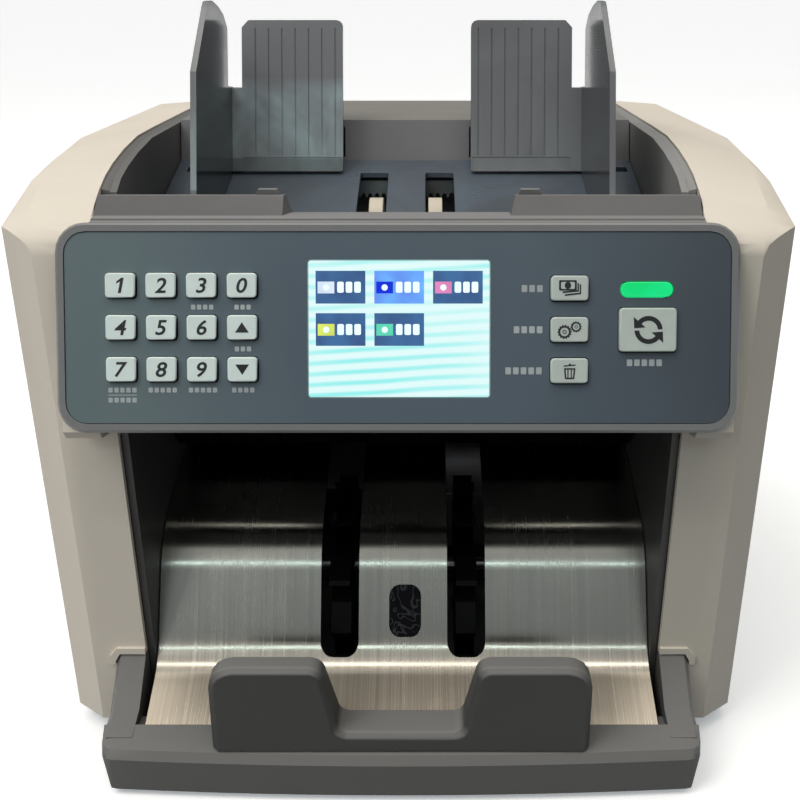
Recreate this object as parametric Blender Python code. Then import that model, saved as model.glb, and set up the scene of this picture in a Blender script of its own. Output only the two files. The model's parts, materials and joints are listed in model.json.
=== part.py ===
"""Banknote counting machine: an assembly of separate casings, keys, guides, rollers and drive parts.

Lengths are in millimetres. X runs to the right, Y to the back and Z up. Depths are first measured
from the front edge of the side covers; DEPTH_SHIFT then moves the origin to the middle of the base.
"""

import math

import bmesh
import bpy
from mathutils import Matrix, Vector

MM = 0.001

# Overall sizes
BASE_FRONT = -50.5
COVER_BACK = 212.0
DEPTH_SHIFT = -(BASE_FRONT + COVER_BACK) / 2.0
GAP = 0.3
SHEET = 2.5

# Side covers: each table gives (depth, value) points
COVER_FRONT = -10.0
COVER_BOTTOM = 8.0
COVER_INNER_FRONT = 109.0
COVER_INNER_TOP = 112.0
COVER_OUTER_X = [(-10, 131.5), (0, 145), (98, 145), (212, 137)]
COVER_OUTER_TOP = [
    (-10, 214.4), (-8.6, 218.6), (-6, 220.6), (-2, 222.7), (0, 223.4), (37, 234.6), (98, 241.3), (212, 243.8),
]
COVER_CREASE_X = [
    (-10, 131.1), (-8.6, 131.9), (-6, 132.6), (-2, 133.7), (3, 135), (9, 136.3), (21, 137.7), (34, 138.8),
    (60, 143.4), (98, 143.8), (212, 136),
]
COVER_CREASE_TOP = [
    (-10, 214.6), (-8.6, 219), (-6, 221.9), (-2, 224.3), (3, 227), (9, 230), (21, 233), (34, 235.9),
    (60, 238.6), (98, 241.6), (212, 243.9),
]
COVER_INNER_EDGE = [
    (-10, 214.8), (-8.6, 219.2), (-6, 221.9), (-2, 225), (5, 229.5), (13, 234), (23, 238), (34, 240.8),
    (50, 243.6), (72, 246), (100, 246.2), (212, 245.7),
]
COVER_STATIONS = [-10, -8.6, -6, -2, 0, 5, 9, 13, 23, 34, 50, 60, 72, 98, 150, 212]

# Notch in each cover for the base's arm, with a raised lip round it
ARM_INNER = 109.1
ARM_OUTER = 121.6
ARM_TOP = 42.3
NOTCH = [(105, -2), (118.3, -2), (122.1, 25), (122.1, 38.9), (119.9, 42.7), (105, 42.7)]
LIP = [(109, 41.2), (118.6, 41.2), (122.0, 37.4), (124.4, 37.4), (124.4, 41.4), (120.8, 45.5), (109, 45.5)]
LIP_HEIGHT = 1.4

# Base
BASE_HALF = 121.8

# Side frames
FRAME_INNER = 106.0
FRAME_OUTER = 108.7
FRAME_BACK = 207.0
FRAME_FLANGE = 110.6
RETARD_HOLE = 2.4
RIM_OUTER = COVER_INNER_TOP - GAP

# Control panel, in its own tilted plane
PANEL_TOP = (-8.6, 226.9)
PANEL_BOTTOM = (-34.3, 156.2)
PANEL_WIDTH = 245.0
PANEL_CORNER = 10.5
PANEL_DEPTH = 12.0
OVERLAY_RECESS = 1.8
PANEL_RIM = 3.2
KEY_GAP = 0.35
KEY_PITCH_X = 14.45
KEY_PITCH_Y = 14.95
KEY_FIRST = (-98.8, 15.1)
KEY_SIZE = (10.8, 9.0)
SIDE_KEY_SIZE = (13.5, 9.1)
SIDE_KEY_X = 61.4
START_KEY = (89.4, -0.7)
START_KEY_SIZE = (20.5, 15.8)
LIGHT_PLACE = (89.1, 13.8)
LIGHT_SIZE = (18.5, 5.3)
SCREEN_PLACE = (0.5, -0.3)
SCREEN_SIZE = (64.8, 48.8)

# Note stop
STOP_FRONT = (-47.2, 21.6)
STOP_FRONT_LEAN = 0.054
STOP_REAR = (-36.2, 60.4)
STOP_REAR_LEAN = -0.16
STOP_BEVEL = 2.2

# Stacker pocket
PLATE_PATH = [
    (-33.5, 23.2), (-13.2, 32.4), (-9.5, 34.8), (-5.6, 38.6), (-2.6, 42.2), (0.2, 46.8), (12.3, 68.7),
    (14.6, 72.4), (18, 77), (24, 82), (33, 86.6), (50, 93), (80, 101),
]
PLATE_THICKNESS = 1.2
PLATE_HALF = 105.6
SLOT_X = 27.4
SLOT_WIDTH = 16.5
SLOT_LOW = 37.4
SLOT_HIGH = 120.0
SLOT_CORNER = 5.0
WINDOW_SIZE = (13.8, 19.6)
WINDOW_MIDDLE = (0.9, 54.0)

# Hopper
HOPPER_MIDDLE = 1.2
FEED_SLOPE = 0.27
FEED_FRONT = 34.0
FEED_BACK = 116.8
FEED_LEVEL = (100.0, 224.0)
PICKUP_X = 12.8
PICKUP_WIDTH = 6.0
PICKUP_WINDOW_X = 14.9
PICKUP_WINDOW = (12.7, 50.0)
PICKUP_WINDOW_MIDDLE = 79.0
GUIDE_OUTER = 82.1
GUIDE_INNER = 79.7
GUIDE_ARM = (76.8, 80.8)
GUIDE_SLOT = (51.0, 101.6)
GUIDE_LEAN = 0.368
GUIDE_NOTCH = 261.5
SLIT_X = (-29.0, 31.0)

# Guide racks and pinion
TEETH = 16
MODULE = 1.0
PINION_HEIGHT = 206.0
RACK_BACK = 109.3
RACK_FRONT = 105.3

# Shafts as (depth, height), and radii
PICKUP_AXIS = (75.0, 205.9)
FEED_AXIS = (42.0, 184.0)
RETARD_AXIS = (20.0, 198.5)
STACKER_AXIS = (46.0, 52.0)
MOTOR_AXIS = (150.0, 50.0)
SHAFT = 3.0
SHAFT_HOLE = 3.4
PICKUP_RADIUS = 13.0
DRUM_RADIUS = 17.0
RETARD_RADIUS = 9.0
WHEEL_RADIUS = 42.0
WHEEL_HUB = 10.0
WHEEL_FINGERS = 10
FEED_PULLEY_RADIUS = 14.0
STACKER_PULLEY_RADIUS = 12.0
MOTOR_PULLEY_RADIUS = 8.0
SMALL_PULLEY_RADIUS = 9.0
DRIVE_LANE = (-117.5, -112.0)
PICKUP_LANE = (-124.5, -119.0)

# Rear door and switch
DOOR_AXIS = (207.0, 88.0)
DOOR_HALF = 87.5
DOOR_SPAN = (84.0, 198.0)
SWITCH_AXIS = (206.8, 34.0)

COLOURS = {
    "cover": ((0.62, 0.58, 0.52), 0.55, 0.0),
    "casing": ((0.075, 0.08, 0.09), 0.45, 0.0),
    "bezel": ((0.16, 0.17, 0.19), 0.4, 0.0),
    "overlay": ((0.03, 0.042, 0.055), 0.15, 0.0),
    "guide": ((0.09, 0.095, 0.11), 0.12, 0.0),
    "key": ((0.55, 0.55, 0.54), 0.45, 0.0),
    "screen": ((0.55, 0.85, 0.95), 0.1, 0.0),
    "light": ((0.1, 0.9, 0.35), 0.2, 0.0),
    "steel": ((0.55, 0.53, 0.5), 0.3, 1.0),
    "black": ((0.012, 0.012, 0.013), 0.2, 0.0),
    "rubber": ((0.02, 0.02, 0.02), 0.7, 0.0),
    "amber": ((0.5, 0.33, 0.12), 0.5, 0.0),
    "aluminium": ((0.7, 0.7, 0.72), 0.35, 1.0),
    "board": ((0.02, 0.16, 0.06), 0.5, 0.0),
    "white_plastic": ((0.75, 0.75, 0.72), 0.5, 0.0),
}


# ---------------------------------------------------------------- helpers

def clear_scene():
    for item in list(bpy.data.objects):
        bpy.data.objects.remove(item, do_unlink=True)


def material(name):
    found = bpy.data.materials.get(name)
    if found:
        return found
    colour, roughness, metallic = COLOURS[name]
    made = bpy.data.materials.new(name)
    made.use_nodes = True
    shader = made.node_tree.nodes["Principled BSDF"]
    shader.inputs["Base Color"].default_value = (*colour, 1.0)
    shader.inputs["Roughness"].default_value = roughness
    shader.inputs["Metallic"].default_value = metallic
    made.diffuse_color = (*colour, 1.0)
    return made


def body(name, points, faces, look, smooth=False, origin=(0.0, 0.0, 0.0), shifted=True):
    """Make one object from points in millimetres; its origin lies at the given point."""
    shift = DEPTH_SHIFT if shifted else 0.0
    base = Vector((origin[0], origin[1] + shift, origin[2])) if shifted else Vector(origin)
    mesh = bpy.data.meshes.new(name)
    placed = [(Vector((x, y + shift, z)) - base) * MM for x, y, z in points]
    mesh.from_pydata(placed, [], faces)
    work = bmesh.new()
    work.from_mesh(mesh)
    bmesh.ops.recalc_face_normals(work, faces=work.faces)
    work.to_mesh(mesh)
    work.free()
    mesh.materials.append(material(look))
    if smooth:
        mesh.shade_smooth()
        mesh.set_sharp_from_angle(angle=math.radians(35))
    item = bpy.data.objects.new(name, mesh)
    item.location = base * MM
    bpy.context.collection.objects.link(item)
    return item


def loft(name, rings, look, **options):
    """Skin a closed body over rings that all have the same number of points."""
    count = len(rings[0])
    points = [point for ring in rings for point in ring]
    faces = [tuple(range(count)), tuple(range(len(points) - count, len(points)))]
    for ring in range(len(rings) - 1):
        first = ring * count
        for i in range(count):
            j = (i + 1) % count
            faces.append((first + i, first + j, first + count + j, first + count + i))
    return body(name, points, faces, look, **options)


def spread(axis, value, pair):
    """Put a flat point into space: value lies on the named axis, pair on the two others."""
    if axis == "X":
        return (value, pair[0], pair[1])
    if axis == "Y":
        return (pair[0], value, pair[1])
    return (pair[0], pair[1], value)


def prism(name, outline, axis, low, high, look, **options):
    rings = [[spread(axis, value, pair) for pair in outline] for value in (low, high)]
    return loft(name, rings, look, **options)


def box(name, x_range, y_range, z_range, look, **options):
    outline = [
        (x_range[0], y_range[0]), (x_range[1], y_range[0]),
        (x_range[1], y_range[1]), (x_range[0], y_range[1]),
    ]
    return prism(name, outline, "Z", z_range[0], z_range[1], look, **options)


def circle(centre, radius, count=24):
    turn = 2.0 * math.pi / count
    return [
        (centre[0] + radius * math.cos(i * turn), centre[1] + radius * math.sin(i * turn))
        for i in range(count)
    ]


def rod(name, axis, radius, x_low, x_high, look, count=24, **options):
    return prism(name, circle(axis, radius, count), "X", x_low, x_high, look, smooth=True, **options)


def turned(name, profile, axis, look, count=32, **options):
    """Turn a closed (x, radius) profile about a shaft; the inner radius leaves a bore."""
    rings = []
    for i in range(count):
        angle = 2.0 * math.pi * i / count
        rings.append([
            (x, axis[0] + r * math.cos(angle), axis[1] + r * math.sin(angle)) for x, r in profile
        ])
    size = len(profile)
    points = [point for ring in rings for point in ring]
    faces = []
    for i in range(count):
        j = (i + 1) % count
        for k in range(size):
            m = (k + 1) % size
            faces.append((i * size + k, i * size + m, j * size + m, j * size + k))
    return body(name, points, faces, look, smooth=True, **options)


def ring_prism(name, outer, inner, x_low, x_high, look, **options):
    """Extrude the band between two loops with equal point counts along X."""
    count = len(outer)
    points = [(x, *pair) for x in (x_low, x_high) for loop in (outer, inner) for pair in loop]
    faces = []
    for i in range(count):
        j = (i + 1) % count
        faces.append((i, j, count + j, count + i))
        faces.append((2 * count + i, 2 * count + j, 3 * count + j, 3 * count + i))
        faces.append((i, j, 2 * count + j, 2 * count + i))
        faces.append((count + i, count + j, 3 * count + j, 3 * count + i))
    return body(name, points, faces, look, **options)


def rounded(width, height, radius, steps=3, centre=(0.0, 0.0)):
    outline = []
    corners = [(1, 1, 0.0), (-1, 1, 0.5), (-1, -1, 1.0), (1, -1, 1.5)]
    for sx, sy, start in corners:
        middle = (centre[0] + sx * (width / 2 - radius), centre[1] + sy * (height / 2 - radius))
        for i in range(steps + 1):
            angle = math.pi * (start + 0.5 * i / steps)
            outline.append((middle[0] + radius * math.cos(angle), middle[1] + radius * math.sin(angle)))
    return outline


def filleted(corners, steps=3):
    """Outline through (x, z, radius) corners, each one rounded by an arc of its own radius."""
    outline = []
    count = len(corners)
    for i, (x, z, radius) in enumerate(corners):
        here = Vector((x, z))
        if radius == 0:
            outline.append((x, z))
            continue
        back = (Vector(corners[i - 1][:2]) - here).normalized()
        ahead = (Vector(corners[(i + 1) % count][:2]) - here).normalized()
        opening = math.acos(back.dot(ahead))
        middle = here + (back + ahead).normalized() * radius / math.sin(opening / 2)
        start = here + back * radius / math.tan(opening / 2) - middle
        turn = math.pi - opening
        if back.x * ahead.y - back.y * ahead.x > 0:
            turn = -turn
        for k in range(steps + 1):
            point = Matrix.Rotation(turn * k / steps, 2) @ start + middle
            outline.append((point.x, point.y))
    return outline


def mirrored(half):
    """Close a right-hand half outline by its mirror image on the left."""
    return [(-x, *rest) for x, *rest in half] + half[::-1]


def along(table, depth):
    """Read a value from a list of (depth, value) points by straight lines."""
    if depth <= table[0][0]:
        return table[0][1]
    for (y0, v0), (y1, v1) in zip(table, table[1:]):
        if depth <= y1:
            return v0 + (v1 - v0) * (depth - y0) / (y1 - y0)
    return table[-1][1]


def offset_path(path, distance):
    """Shift an open path sideways, to its right-hand side, with mitred corners."""
    shifted = []
    for i, here in enumerate(path):
        normals = []
        if i > 0:
            normals.append((Vector(here) - Vector(path[i - 1])).normalized())
        if i < len(path) - 1:
            normals.append((Vector(path[i + 1]) - Vector(here)).normalized())
        sides = [Vector((d.y, -d.x)) for d in normals]
        middle = sum(sides, Vector((0.0, 0.0))).normalized()
        reach = distance / max(0.3, middle.dot(sides[0]))
        shifted.append((here[0] + middle.x * reach, here[1] + middle.y * reach))
    return shifted


def strip(path, thickness):
    return list(path) + offset_path(path, thickness)[::-1]


def helper(item):
    item.hide_render = True
    item.display_type = "WIRE"
    return item


def combine(target, tool, operation="DIFFERENCE"):
    modifier = target.modifiers.new(operation.lower(), "BOOLEAN")
    modifier.operation = operation
    modifier.solver = "EXACT"
    modifier.object = helper(tool)
    return target


# ---------------------------------------------------------------- casings

def cover_ring(side, depth, inset):
    """Section of a cover at one depth; an inset gives the section of its hollow."""
    top_outer = along(COVER_OUTER_TOP, depth)
    top_inner = along(COVER_INNER_EDGE, depth)
    crease_top = along(COVER_CREASE_TOP, depth)
    outer = along(COVER_OUTER_X, depth) - inset
    crease = along(COVER_CREASE_X, depth) - 0.5 * inset
    inner = COVER_INNER_FRONT
    bottom = COVER_BOTTOM
    inner_top = top_inner - inset - 0.2
    if depth > 2.0:
        inner = COVER_INNER_TOP
        inner_top = top_inner - 1.2
    if inset:
        inner = COVER_INNER_FRONT - 9.0
        inner_top = top_inner - inset - 0.2
        bottom = COVER_BOTTOM - 10.0
    ring = [
        (inner, bottom), (outer, bottom), (outer, top_outer - inset), (crease, crease_top - inset),
        (COVER_INNER_TOP, top_inner - inset), (inner, inner_top),
    ]
    return [(side * x, depth, z) for x, z in ring]


def side_cover(name, side):
    """Shell that is open to the middle and the bottom, with a seat for the panel."""
    cover = loft(name, [cover_ring(side, y, 0.0) for y in COVER_STATIONS], "cover")
    panel_pad = [(-8, 146.5), (-27, 150.8), (-29, 154), (-6, 216), (-4, 216), (-4, 146.5)]
    pad = prism(name + "_pad", panel_pad, "X", side * COVER_INNER_FRONT, side * 122.4, "cover")
    combine(cover, pad, "UNION")
    lip_outline = [(side * x, z) for x, z in LIP]
    lip = prism(name + "_lip", lip_outline, "Y", -9.0, COVER_FRONT - LIP_HEIGHT, "cover")
    combine(cover, lip, "UNION")
    hollow = [4.0] + [y for y in COVER_STATIONS if 4.0 < y < 205.0] + [COVER_BACK - SHEET]
    combine(cover, loft(name + "_hollow", [cover_ring(side, y, SHEET) for y in hollow], "cover"))
    corner = [(100.0, -2.0), (129.5, -2.0), (129.5, 143.0), (100.0, 143.0)]
    wide = [(100.0, -2.0), (142.5, -2.0), (142.5, 143.0), (100.0, 143.0)]
    front = [
        [(side * x, -7.5, z) for x, z in corner],
        [(side * x, 3.0, z) for x, z in wide],
        [(side * x, 6.0, z) for x, z in wide],
    ]
    combine(cover, loft(name + "_front_hollow", front, "cover"))
    sided = [(side * x, z) for x, z in NOTCH]
    combine(cover, prism(name + "_notch", sided, "Y", -20.0, 2.0, "cover"))
    seat = rounded(PANEL_WIDTH + 2 * GAP, panel_height() + 2 * GAP, PANEL_CORNER + GAP, 6)
    combine(cover, panel_prism(name + "_seat", seat, -PANEL_DEPTH - GAP, 40.0, "cover"))
    trim_seat = sorted((side * 105.0, side * 111.6))
    combine(cover, box(name + "_trim_seat", trim_seat, (-12, 20), (222.8, 250), "cover"))
    rear_lip = sorted((side * 109.2, side * 116.0))
    return combine(cover, box(name + "_rear_lip", rear_lip, (208.3, 211.8), (8.2, 245.0), "cover"), "UNION")


def frame_outline():
    low = 6.3
    top = [(y, along(COVER_INNER_EDGE, y) - 1.0) for y in (23, 34, 50, 72, 135)]
    return [
        (-7.2, low), (FRAME_BACK, low), (FRAME_BACK, 244.3), *top[::-1],
        (15.2, 233.0), (15.2, 228.2), (9.0, 228.2), (2.6, 221.0), (-6.6, 196.0),
    ]


def side_frame(name, side):
    """Inner wall of pocket and hopper, with a rim that meets the side cover."""
    frame = prism(name, frame_outline(), "X", side * FRAME_INNER, side * FRAME_OUTER, "casing")
    rim_rings = []
    for y in (15.4, 23, 34, 50, 72, 100, 135, 206.6):
        z = along(COVER_INNER_EDGE, y) - 0.8
        ring = [(106.4, z - 3.2), (108.9, z - 0.7), (RIM_OUTER, z), (RIM_OUTER, z - 2.4), (108.0, z - 12.0)]
        rim_rings.append([(side * x, y, height) for x, height in ring])
    combine(frame, loft(name + "_rim", rim_rings, "casing"), "UNION")
    flange = sorted((side * (FRAME_OUTER - 0.5), side * FRAME_FLANGE))
    combine(frame, box(name + "_flange", flange, (-6.6, -5.0), (43.5, 142.0), "casing"), "UNION")
    holes = [
        (PICKUP_AXIS, SHAFT_HOLE), (FEED_AXIS, SHAFT_HOLE), (STACKER_AXIS, SHAFT_HOLE),
        (RETARD_AXIS, RETARD_HOLE),
    ]
    if side < 0:
        holes.append((MOTOR_AXIS, SHAFT_HOLE))
    for index, (axis, radius) in enumerate(holes):
        cutter = rod(f"{name}_hole_{index}", axis, radius, side * 100.0, side * 118.0, "casing")
        combine(frame, cutter)
    return frame


def base_section(x):
    """Front bar and ledge at one width; the plan is slightly curved with round corners."""
    corner = 6.0
    front = BASE_FRONT + 3.6 * (x / 115.0) ** 2
    past = abs(x) - (BASE_HALF - corner)
    if past > 0:
        front += corner - math.sqrt(max(0.0, corner ** 2 - past ** 2))
    outline = [
        (front + 0.1, 3.0), (front, 18.0), (front + 2.2, 21.6), (-34.2, 25.0), (-33.6, 21.4),
        (-25.0, 21.4), (-25.0, 3.0),
    ]
    return [(x, y, z) for y, z in outline]


def make_base():
    corner_turns = [math.radians(turn) for turn in (0, 25, 50, 70, 90)]
    right = [BASE_HALF - 6.0 + 6.0 * math.sin(turn) for turn in corner_turns]
    middle = [(BASE_HALF - 6.0) * i / 6 for i in range(-5, 6)]
    stations = [-x for x in right[::-1]] + middle + right
    base = loft("base", [base_section(x) for x in stations], "casing")
    high = [(-40, 4.4), (-40, 23.4), (-27, 27.1), (-10, ARM_TOP), (-4, ARM_TOP), (-4, 4.4)]
    low = [(-36, 4.4), (-36, 22.8), (-27, 24.0), (-10, ARM_TOP - 3.6), (-4, ARM_TOP - 3.6), (-4, 4.4)]
    for side in (-1, 1):
        arm = ((ARM_INNER, high), (ARM_OUTER - 2.0, high), (ARM_OUTER, low))
        rings = [[(side * x, y, z) for y, z in outline] for x, outline in arm]
        combine(base, loft(f"base_arm_{side}", rings, "casing"), "UNION")
        draft = [(side * 117.5, 0), (side * 126, 0), (side * 126, 26), (side * 122, 26)]
        combine(base, prism(f"base_draft_{side}", draft, "Y", -60.0, -3.6, "casing"))
    combine(base, box("base_front_floor", (-117.3, 117.3), (-30, 0), (3.6, 5.7), "casing"), "UNION")
    half = [(129, -3.2), (140, 4), (140, 187), (133, 206)]
    plan = half + [(-x, y) for x, y in half[::-1]]
    combine(base, prism("base_floor", plan, "Z", 3.2, 6.0, "casing"), "UNION")
    return base


def make_feet():
    places = {
        "front_left": (-96.0, -37.5), "front_right": (96.0, -37.5),
        "back_left": (-105.0, 185.0), "back_right": (105.0, 185.0),
    }
    for name, (x, y) in places.items():
        prism("foot_" + name, circle((x, y), 7.0, 24), "Z", 0.0, 2.7, "rubber", smooth=True)


def stop_ring(half, depth_of):
    return [(x, depth_of(z), z) for x, z in filleted(mirrored(half), 4)]


def make_note_stop():
    """Fence with two tabs; its front edge is bevelled and its back leans forward."""
    def front(z):
        return STOP_FRONT[0] + STOP_FRONT_LEAN * (z - STOP_FRONT[1])

    def shoulder(z):
        return front(z) + STOP_BEVEL

    def rear(z):
        return STOP_REAR[0] + STOP_REAR_LEAN * (z - STOP_REAR[1])

    inset = [(73.2, 22.3, 0), (73.2, 58.2, 7.8), (32.6, 58.2, 4.5), (26.4, 28.2, 6.0)]
    full = [(75.4, 22.8, 0), (75.4, 60.4, 10.0), (31.0, 60.4, 6.0), (24.6, 30.4, 5.0)]
    back = [(75.4, 26.4, 0), *full[1:]]
    rings = [stop_ring(inset, front), stop_ring(full, shoulder), stop_ring(back, rear)]
    return loft("note_stop", rings, "casing")


def hopper_front_section(x, raised):
    if raised:
        outline = [
            (-5, 226.0), (-2.8, 226.2), (-2.4, 226.8), (1.8, 227.0), (8, 233.2), (14.6, 232.2), (14.6, 229.4),
            (12.0, 229.8), (7.6, 229.6), (2.2, 225.0), (-3, 225.2),
        ]
    else:
        outline = [
            (-5, 226.0), (-2.8, 226.2), (-2.4, 226.8), (1.8, 227.0), (8, 226.8), (14.6, 225.6), (14.6, 223.2),
            (12.0, 223.6), (7.6, 224.6), (2.2, 224.6), (-3, 225.2),
        ]
    return [(x, y, z) for y, z in outline]


def make_hopper_front_cover():
    stations = [(-111.2, True), (-42.4, True), (-40.4, False), (41.2, False), (43.2, True), (111.2, True)]
    cover = loft("hopper_front_cover", [hopper_front_section(x, up) for x, up in stations], "casing")
    wall = [(12.2, 210), (14.6, 210), (14.6, 224.6), (12.2, 224.6)]
    hood = [(13.4, 211), (30.4, 208.8), (31, 210), (24, 213), (13.4, 215)]
    tall = [(12.2, 224), (14.6, 224), (14.6, 231.2), (12.2, 231.2)]
    combine(cover, prism("hopper_front_wall", wall, "X", -105.5, 105.5, "casing"), "UNION")
    combine(cover, prism("retard_hood", hood, "X", -46, 46, "casing"), "UNION")
    for side in (-1, 1):
        raised = prism(f"hopper_front_tall_{side}", tall, "X", side * 46, side * 105.5, "casing")
        combine(cover, raised, "UNION")
        nub = [(43.8, 231.4), (45.4, 234.6), (52.4, 234.6), (54.0, 231.4)]
        sided = [(side * x, z) for x, z in nub]
        combine(cover, prism(f"hopper_front_nub_{side}", sided, "Y", 11.8, 14.5, "casing"), "UNION")
    return cover


def feed_height(depth):
    return FEED_LEVEL[1] - FEED_SLOPE * (FEED_LEVEL[0] - depth)


def hopper_x(side, distance):
    """Place to the left or right of the hopper's own middle."""
    return HOPPER_MIDDLE + side * distance


def make_feed_plate():
    outline = [
        (FEED_FRONT, feed_height(FEED_FRONT)), (FEED_BACK, feed_height(FEED_BACK)),
        (FEED_BACK, feed_height(FEED_BACK) - 2.6), (FEED_FRONT, feed_height(FEED_FRONT) - 2.6),
    ]
    plate = prism("hopper_feed_plate", outline, "X", -105.5, 105.5, "guide")
    for side in (-1, 1):
        centre = (hopper_x(side, PICKUP_WINDOW_X), PICKUP_WINDOW_MIDDLE)
        window = rounded(*PICKUP_WINDOW, 1.5, 2, centre)
        combine(plate, prism(f"pickup_window_{side}", window, "Z", 190, 240, "guide"))
        slot = sorted(hopper_x(side, distance) for distance in GUIDE_SLOT)
        combine(plate, box(f"guide_slot_{side}", slot, (104.8, 109.8), (190, 240), "guide"))
    return plate


def make_rear_housing():
    path = [(117.6, 186), (117.6, 228), (124, 246.0), (206.5, 246.2), (211.7, 242), (211.7, 3.4)]
    housing = prism("rear_housing", strip(path, SHEET), "X", -105.5, 105.5, "casing")
    wings = box("rear_housing_wings", (-108.9, 108.9), (209.3, 211.6), (8.5, 240.0), "casing")
    combine(housing, wings, "UNION")
    stud = rod_y("guide_stud", (HOPPER_MIDDLE, PINION_HEIGHT), 2.0, 104.4, 118.5)
    combine(housing, stud, "UNION")
    for side in (-1, 1):
        bracket = [(203, 83), (209.6, 83), (209.6, 92), (203, 92)]
        low, high = sorted((side * 89.2, side * 94.0))
        combine(housing, prism(f"door_bracket_{side}", bracket, "X", low, high, "casing"), "UNION")
        combine(housing, rod(f"door_bore_{side}", DOOR_AXIS, 2.35, low - 2, high + 2, "casing"))
    for index, x in enumerate(SLIT_X):
        slit = box(f"hopper_slit_{index}", (x - 0.85, x + 0.85), (114, 128), (229.5, 243), "casing")
        combine(housing, slit)
    combine(housing, box("door_opening", (-88, 88), (205, 215), (81.5, 198.6), "casing"))
    combine(housing, box("inlet_opening", (57.9, 86.1), (205, 215), (19.9, 42.1), "casing"))
    combine(housing, box("switch_opening", (30, 46), (205, 215), (23.3, 44.7), "casing"))
    return housing


def rod_y(name, place, radius, y_low, y_high, look="casing", count=20):
    return prism(name, circle(place, radius, count), "Y", y_low, y_high, look, smooth=True)


# ---------------------------------------------------------------- stacker pocket

def make_stacker_plate():
    section = strip(PLATE_PATH, PLATE_THICKNESS)
    plate = prism("stacker_plate", section, "X", -PLATE_HALF, PLATE_HALF, "steel")
    for side in (-1, 1):
        middle = (side * SLOT_X, (SLOT_LOW + SLOT_HIGH) / 2.0)
        outline = rounded(SLOT_WIDTH, SLOT_HIGH - SLOT_LOW, SLOT_CORNER, 5, middle)
        combine(plate, prism(f"wheel_slot_{side}", outline, "Y", -30, 90, "steel"))
    hole = rounded(WINDOW_SIZE[0], WINDOW_SIZE[1], 4.0, 4, WINDOW_MIDDLE)
    combine(plate, prism("window_hole", hole, "Y", -20, 24, "steel"))
    return plate


def make_sensor_window():
    window = prism("sensor_window", strip(PLATE_PATH[4:7], PLATE_THICKNESS + 0.4), "X", -9.0, 10.0, "black")
    shape = rounded(WINDOW_SIZE[0] - 2 * GAP, WINDOW_SIZE[1] - 2 * GAP, 3.8, 4, WINDOW_MIDDLE)
    return combine(window, prism("window_shape", shape, "Y", -20, 24, "black"), "INTERSECT")


def wheel_outline():
    """Hub with curved fingers that sweep back against the turning direction."""
    outline = []
    turn = 2.0 * math.pi / WHEEL_FINGERS
    sweep = math.radians(52)
    steps = 4
    for finger in range(WHEEL_FINGERS):
        start = finger * turn
        for k in range(steps + 1):
            part = k / steps
            radius = WHEEL_HUB + (WHEEL_RADIUS - WHEEL_HUB) * part
            angle = start + sweep * part ** 1.3
            outline.append((radius, angle - 0.9 / radius))
        for k in range(steps, -1, -1):
            part = k / steps
            radius = WHEEL_HUB + (WHEEL_RADIUS - WHEEL_HUB) * part
            angle = start + sweep * part ** 1.3
            outline.append((radius, angle + (2.6 - 1.4 * part) / radius))
    return [(STACKER_AXIS[0] + r * math.cos(a), STACKER_AXIS[1] + r * math.sin(a)) for r, a in outline]


def make_stacker():
    origin = (0.0, *STACKER_AXIS)
    rod("stacker_shaft", STACKER_AXIS, SHAFT, -118.0, 109.5, "aluminium", origin=origin)
    for name, side in (("left_stacker_wheel", -1), ("right_stacker_wheel", 1)):
        low, high = side * SLOT_X - 4.5, side * SLOT_X + 4.5
        wheel = prism(name, wheel_outline(), "X", low, high, "black", origin=origin)
        combine(wheel, rod(name + "_bore", STACKER_AXIS, SHAFT + GAP, low - 2, high + 2, "black"))


# ---------------------------------------------------------------- rollers and drive

def pulley_profile(lane, radius):
    low, high = lane
    return [
        (low, SHAFT + GAP), (low, radius + 1.6), (low + 0.7, radius + 1.6), (low + 0.7, radius),
        (high - 0.7, radius), (high - 0.7, radius + 1.6), (high, radius + 1.6), (high, SHAFT + GAP),
    ]


def make_rollers():
    pickup = (0.0, *PICKUP_AXIS)
    bar = [(-125.0, SHAFT)]
    for side in (-1, 1):
        middle = hopper_x(side, PICKUP_X)
        low, high = middle - PICKUP_WIDTH / 2, middle + PICKUP_WIDTH / 2
        bar += [(low, SHAFT), (low, PICKUP_RADIUS), (high, PICKUP_RADIUS), (high, SHAFT)]
    bar += [(109.5, SHAFT)]
    solid_of_turn("pickup_roller", bar, PICKUP_AXIS, "amber", origin=pickup)
    feed = (0.0, *FEED_AXIS)
    rod("feed_shaft", FEED_AXIS, SHAFT, -125.0, 109.5, "aluminium", origin=feed)
    hub = SHAFT + GAP
    drum = [(-60, hub), (-60, DRUM_RADIUS), (60, DRUM_RADIUS), (60, hub)]
    turned("feed_drum", drum, FEED_AXIS, "rubber", origin=feed)
    retard = (0.0, *RETARD_AXIS)
    ends = [(-109.2, 2.0), (-24, 2.0), (-24, RETARD_RADIUS), (24, RETARD_RADIUS), (24, 2.0), (109.2, 2.0)]
    solid_of_turn("retard_roller", ends, RETARD_AXIS, "rubber", origin=retard)


def solid_of_turn(name, profile, axis, look, count=28, **options):
    """Turn an open (x, radius) profile into a solid bar with flat ends."""
    rings = []
    for x, radius in profile:
        rings.append([(x, *pair) for pair in circle(axis, radius, count)])
    return loft(name, rings, look, smooth=True, **options)


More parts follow.
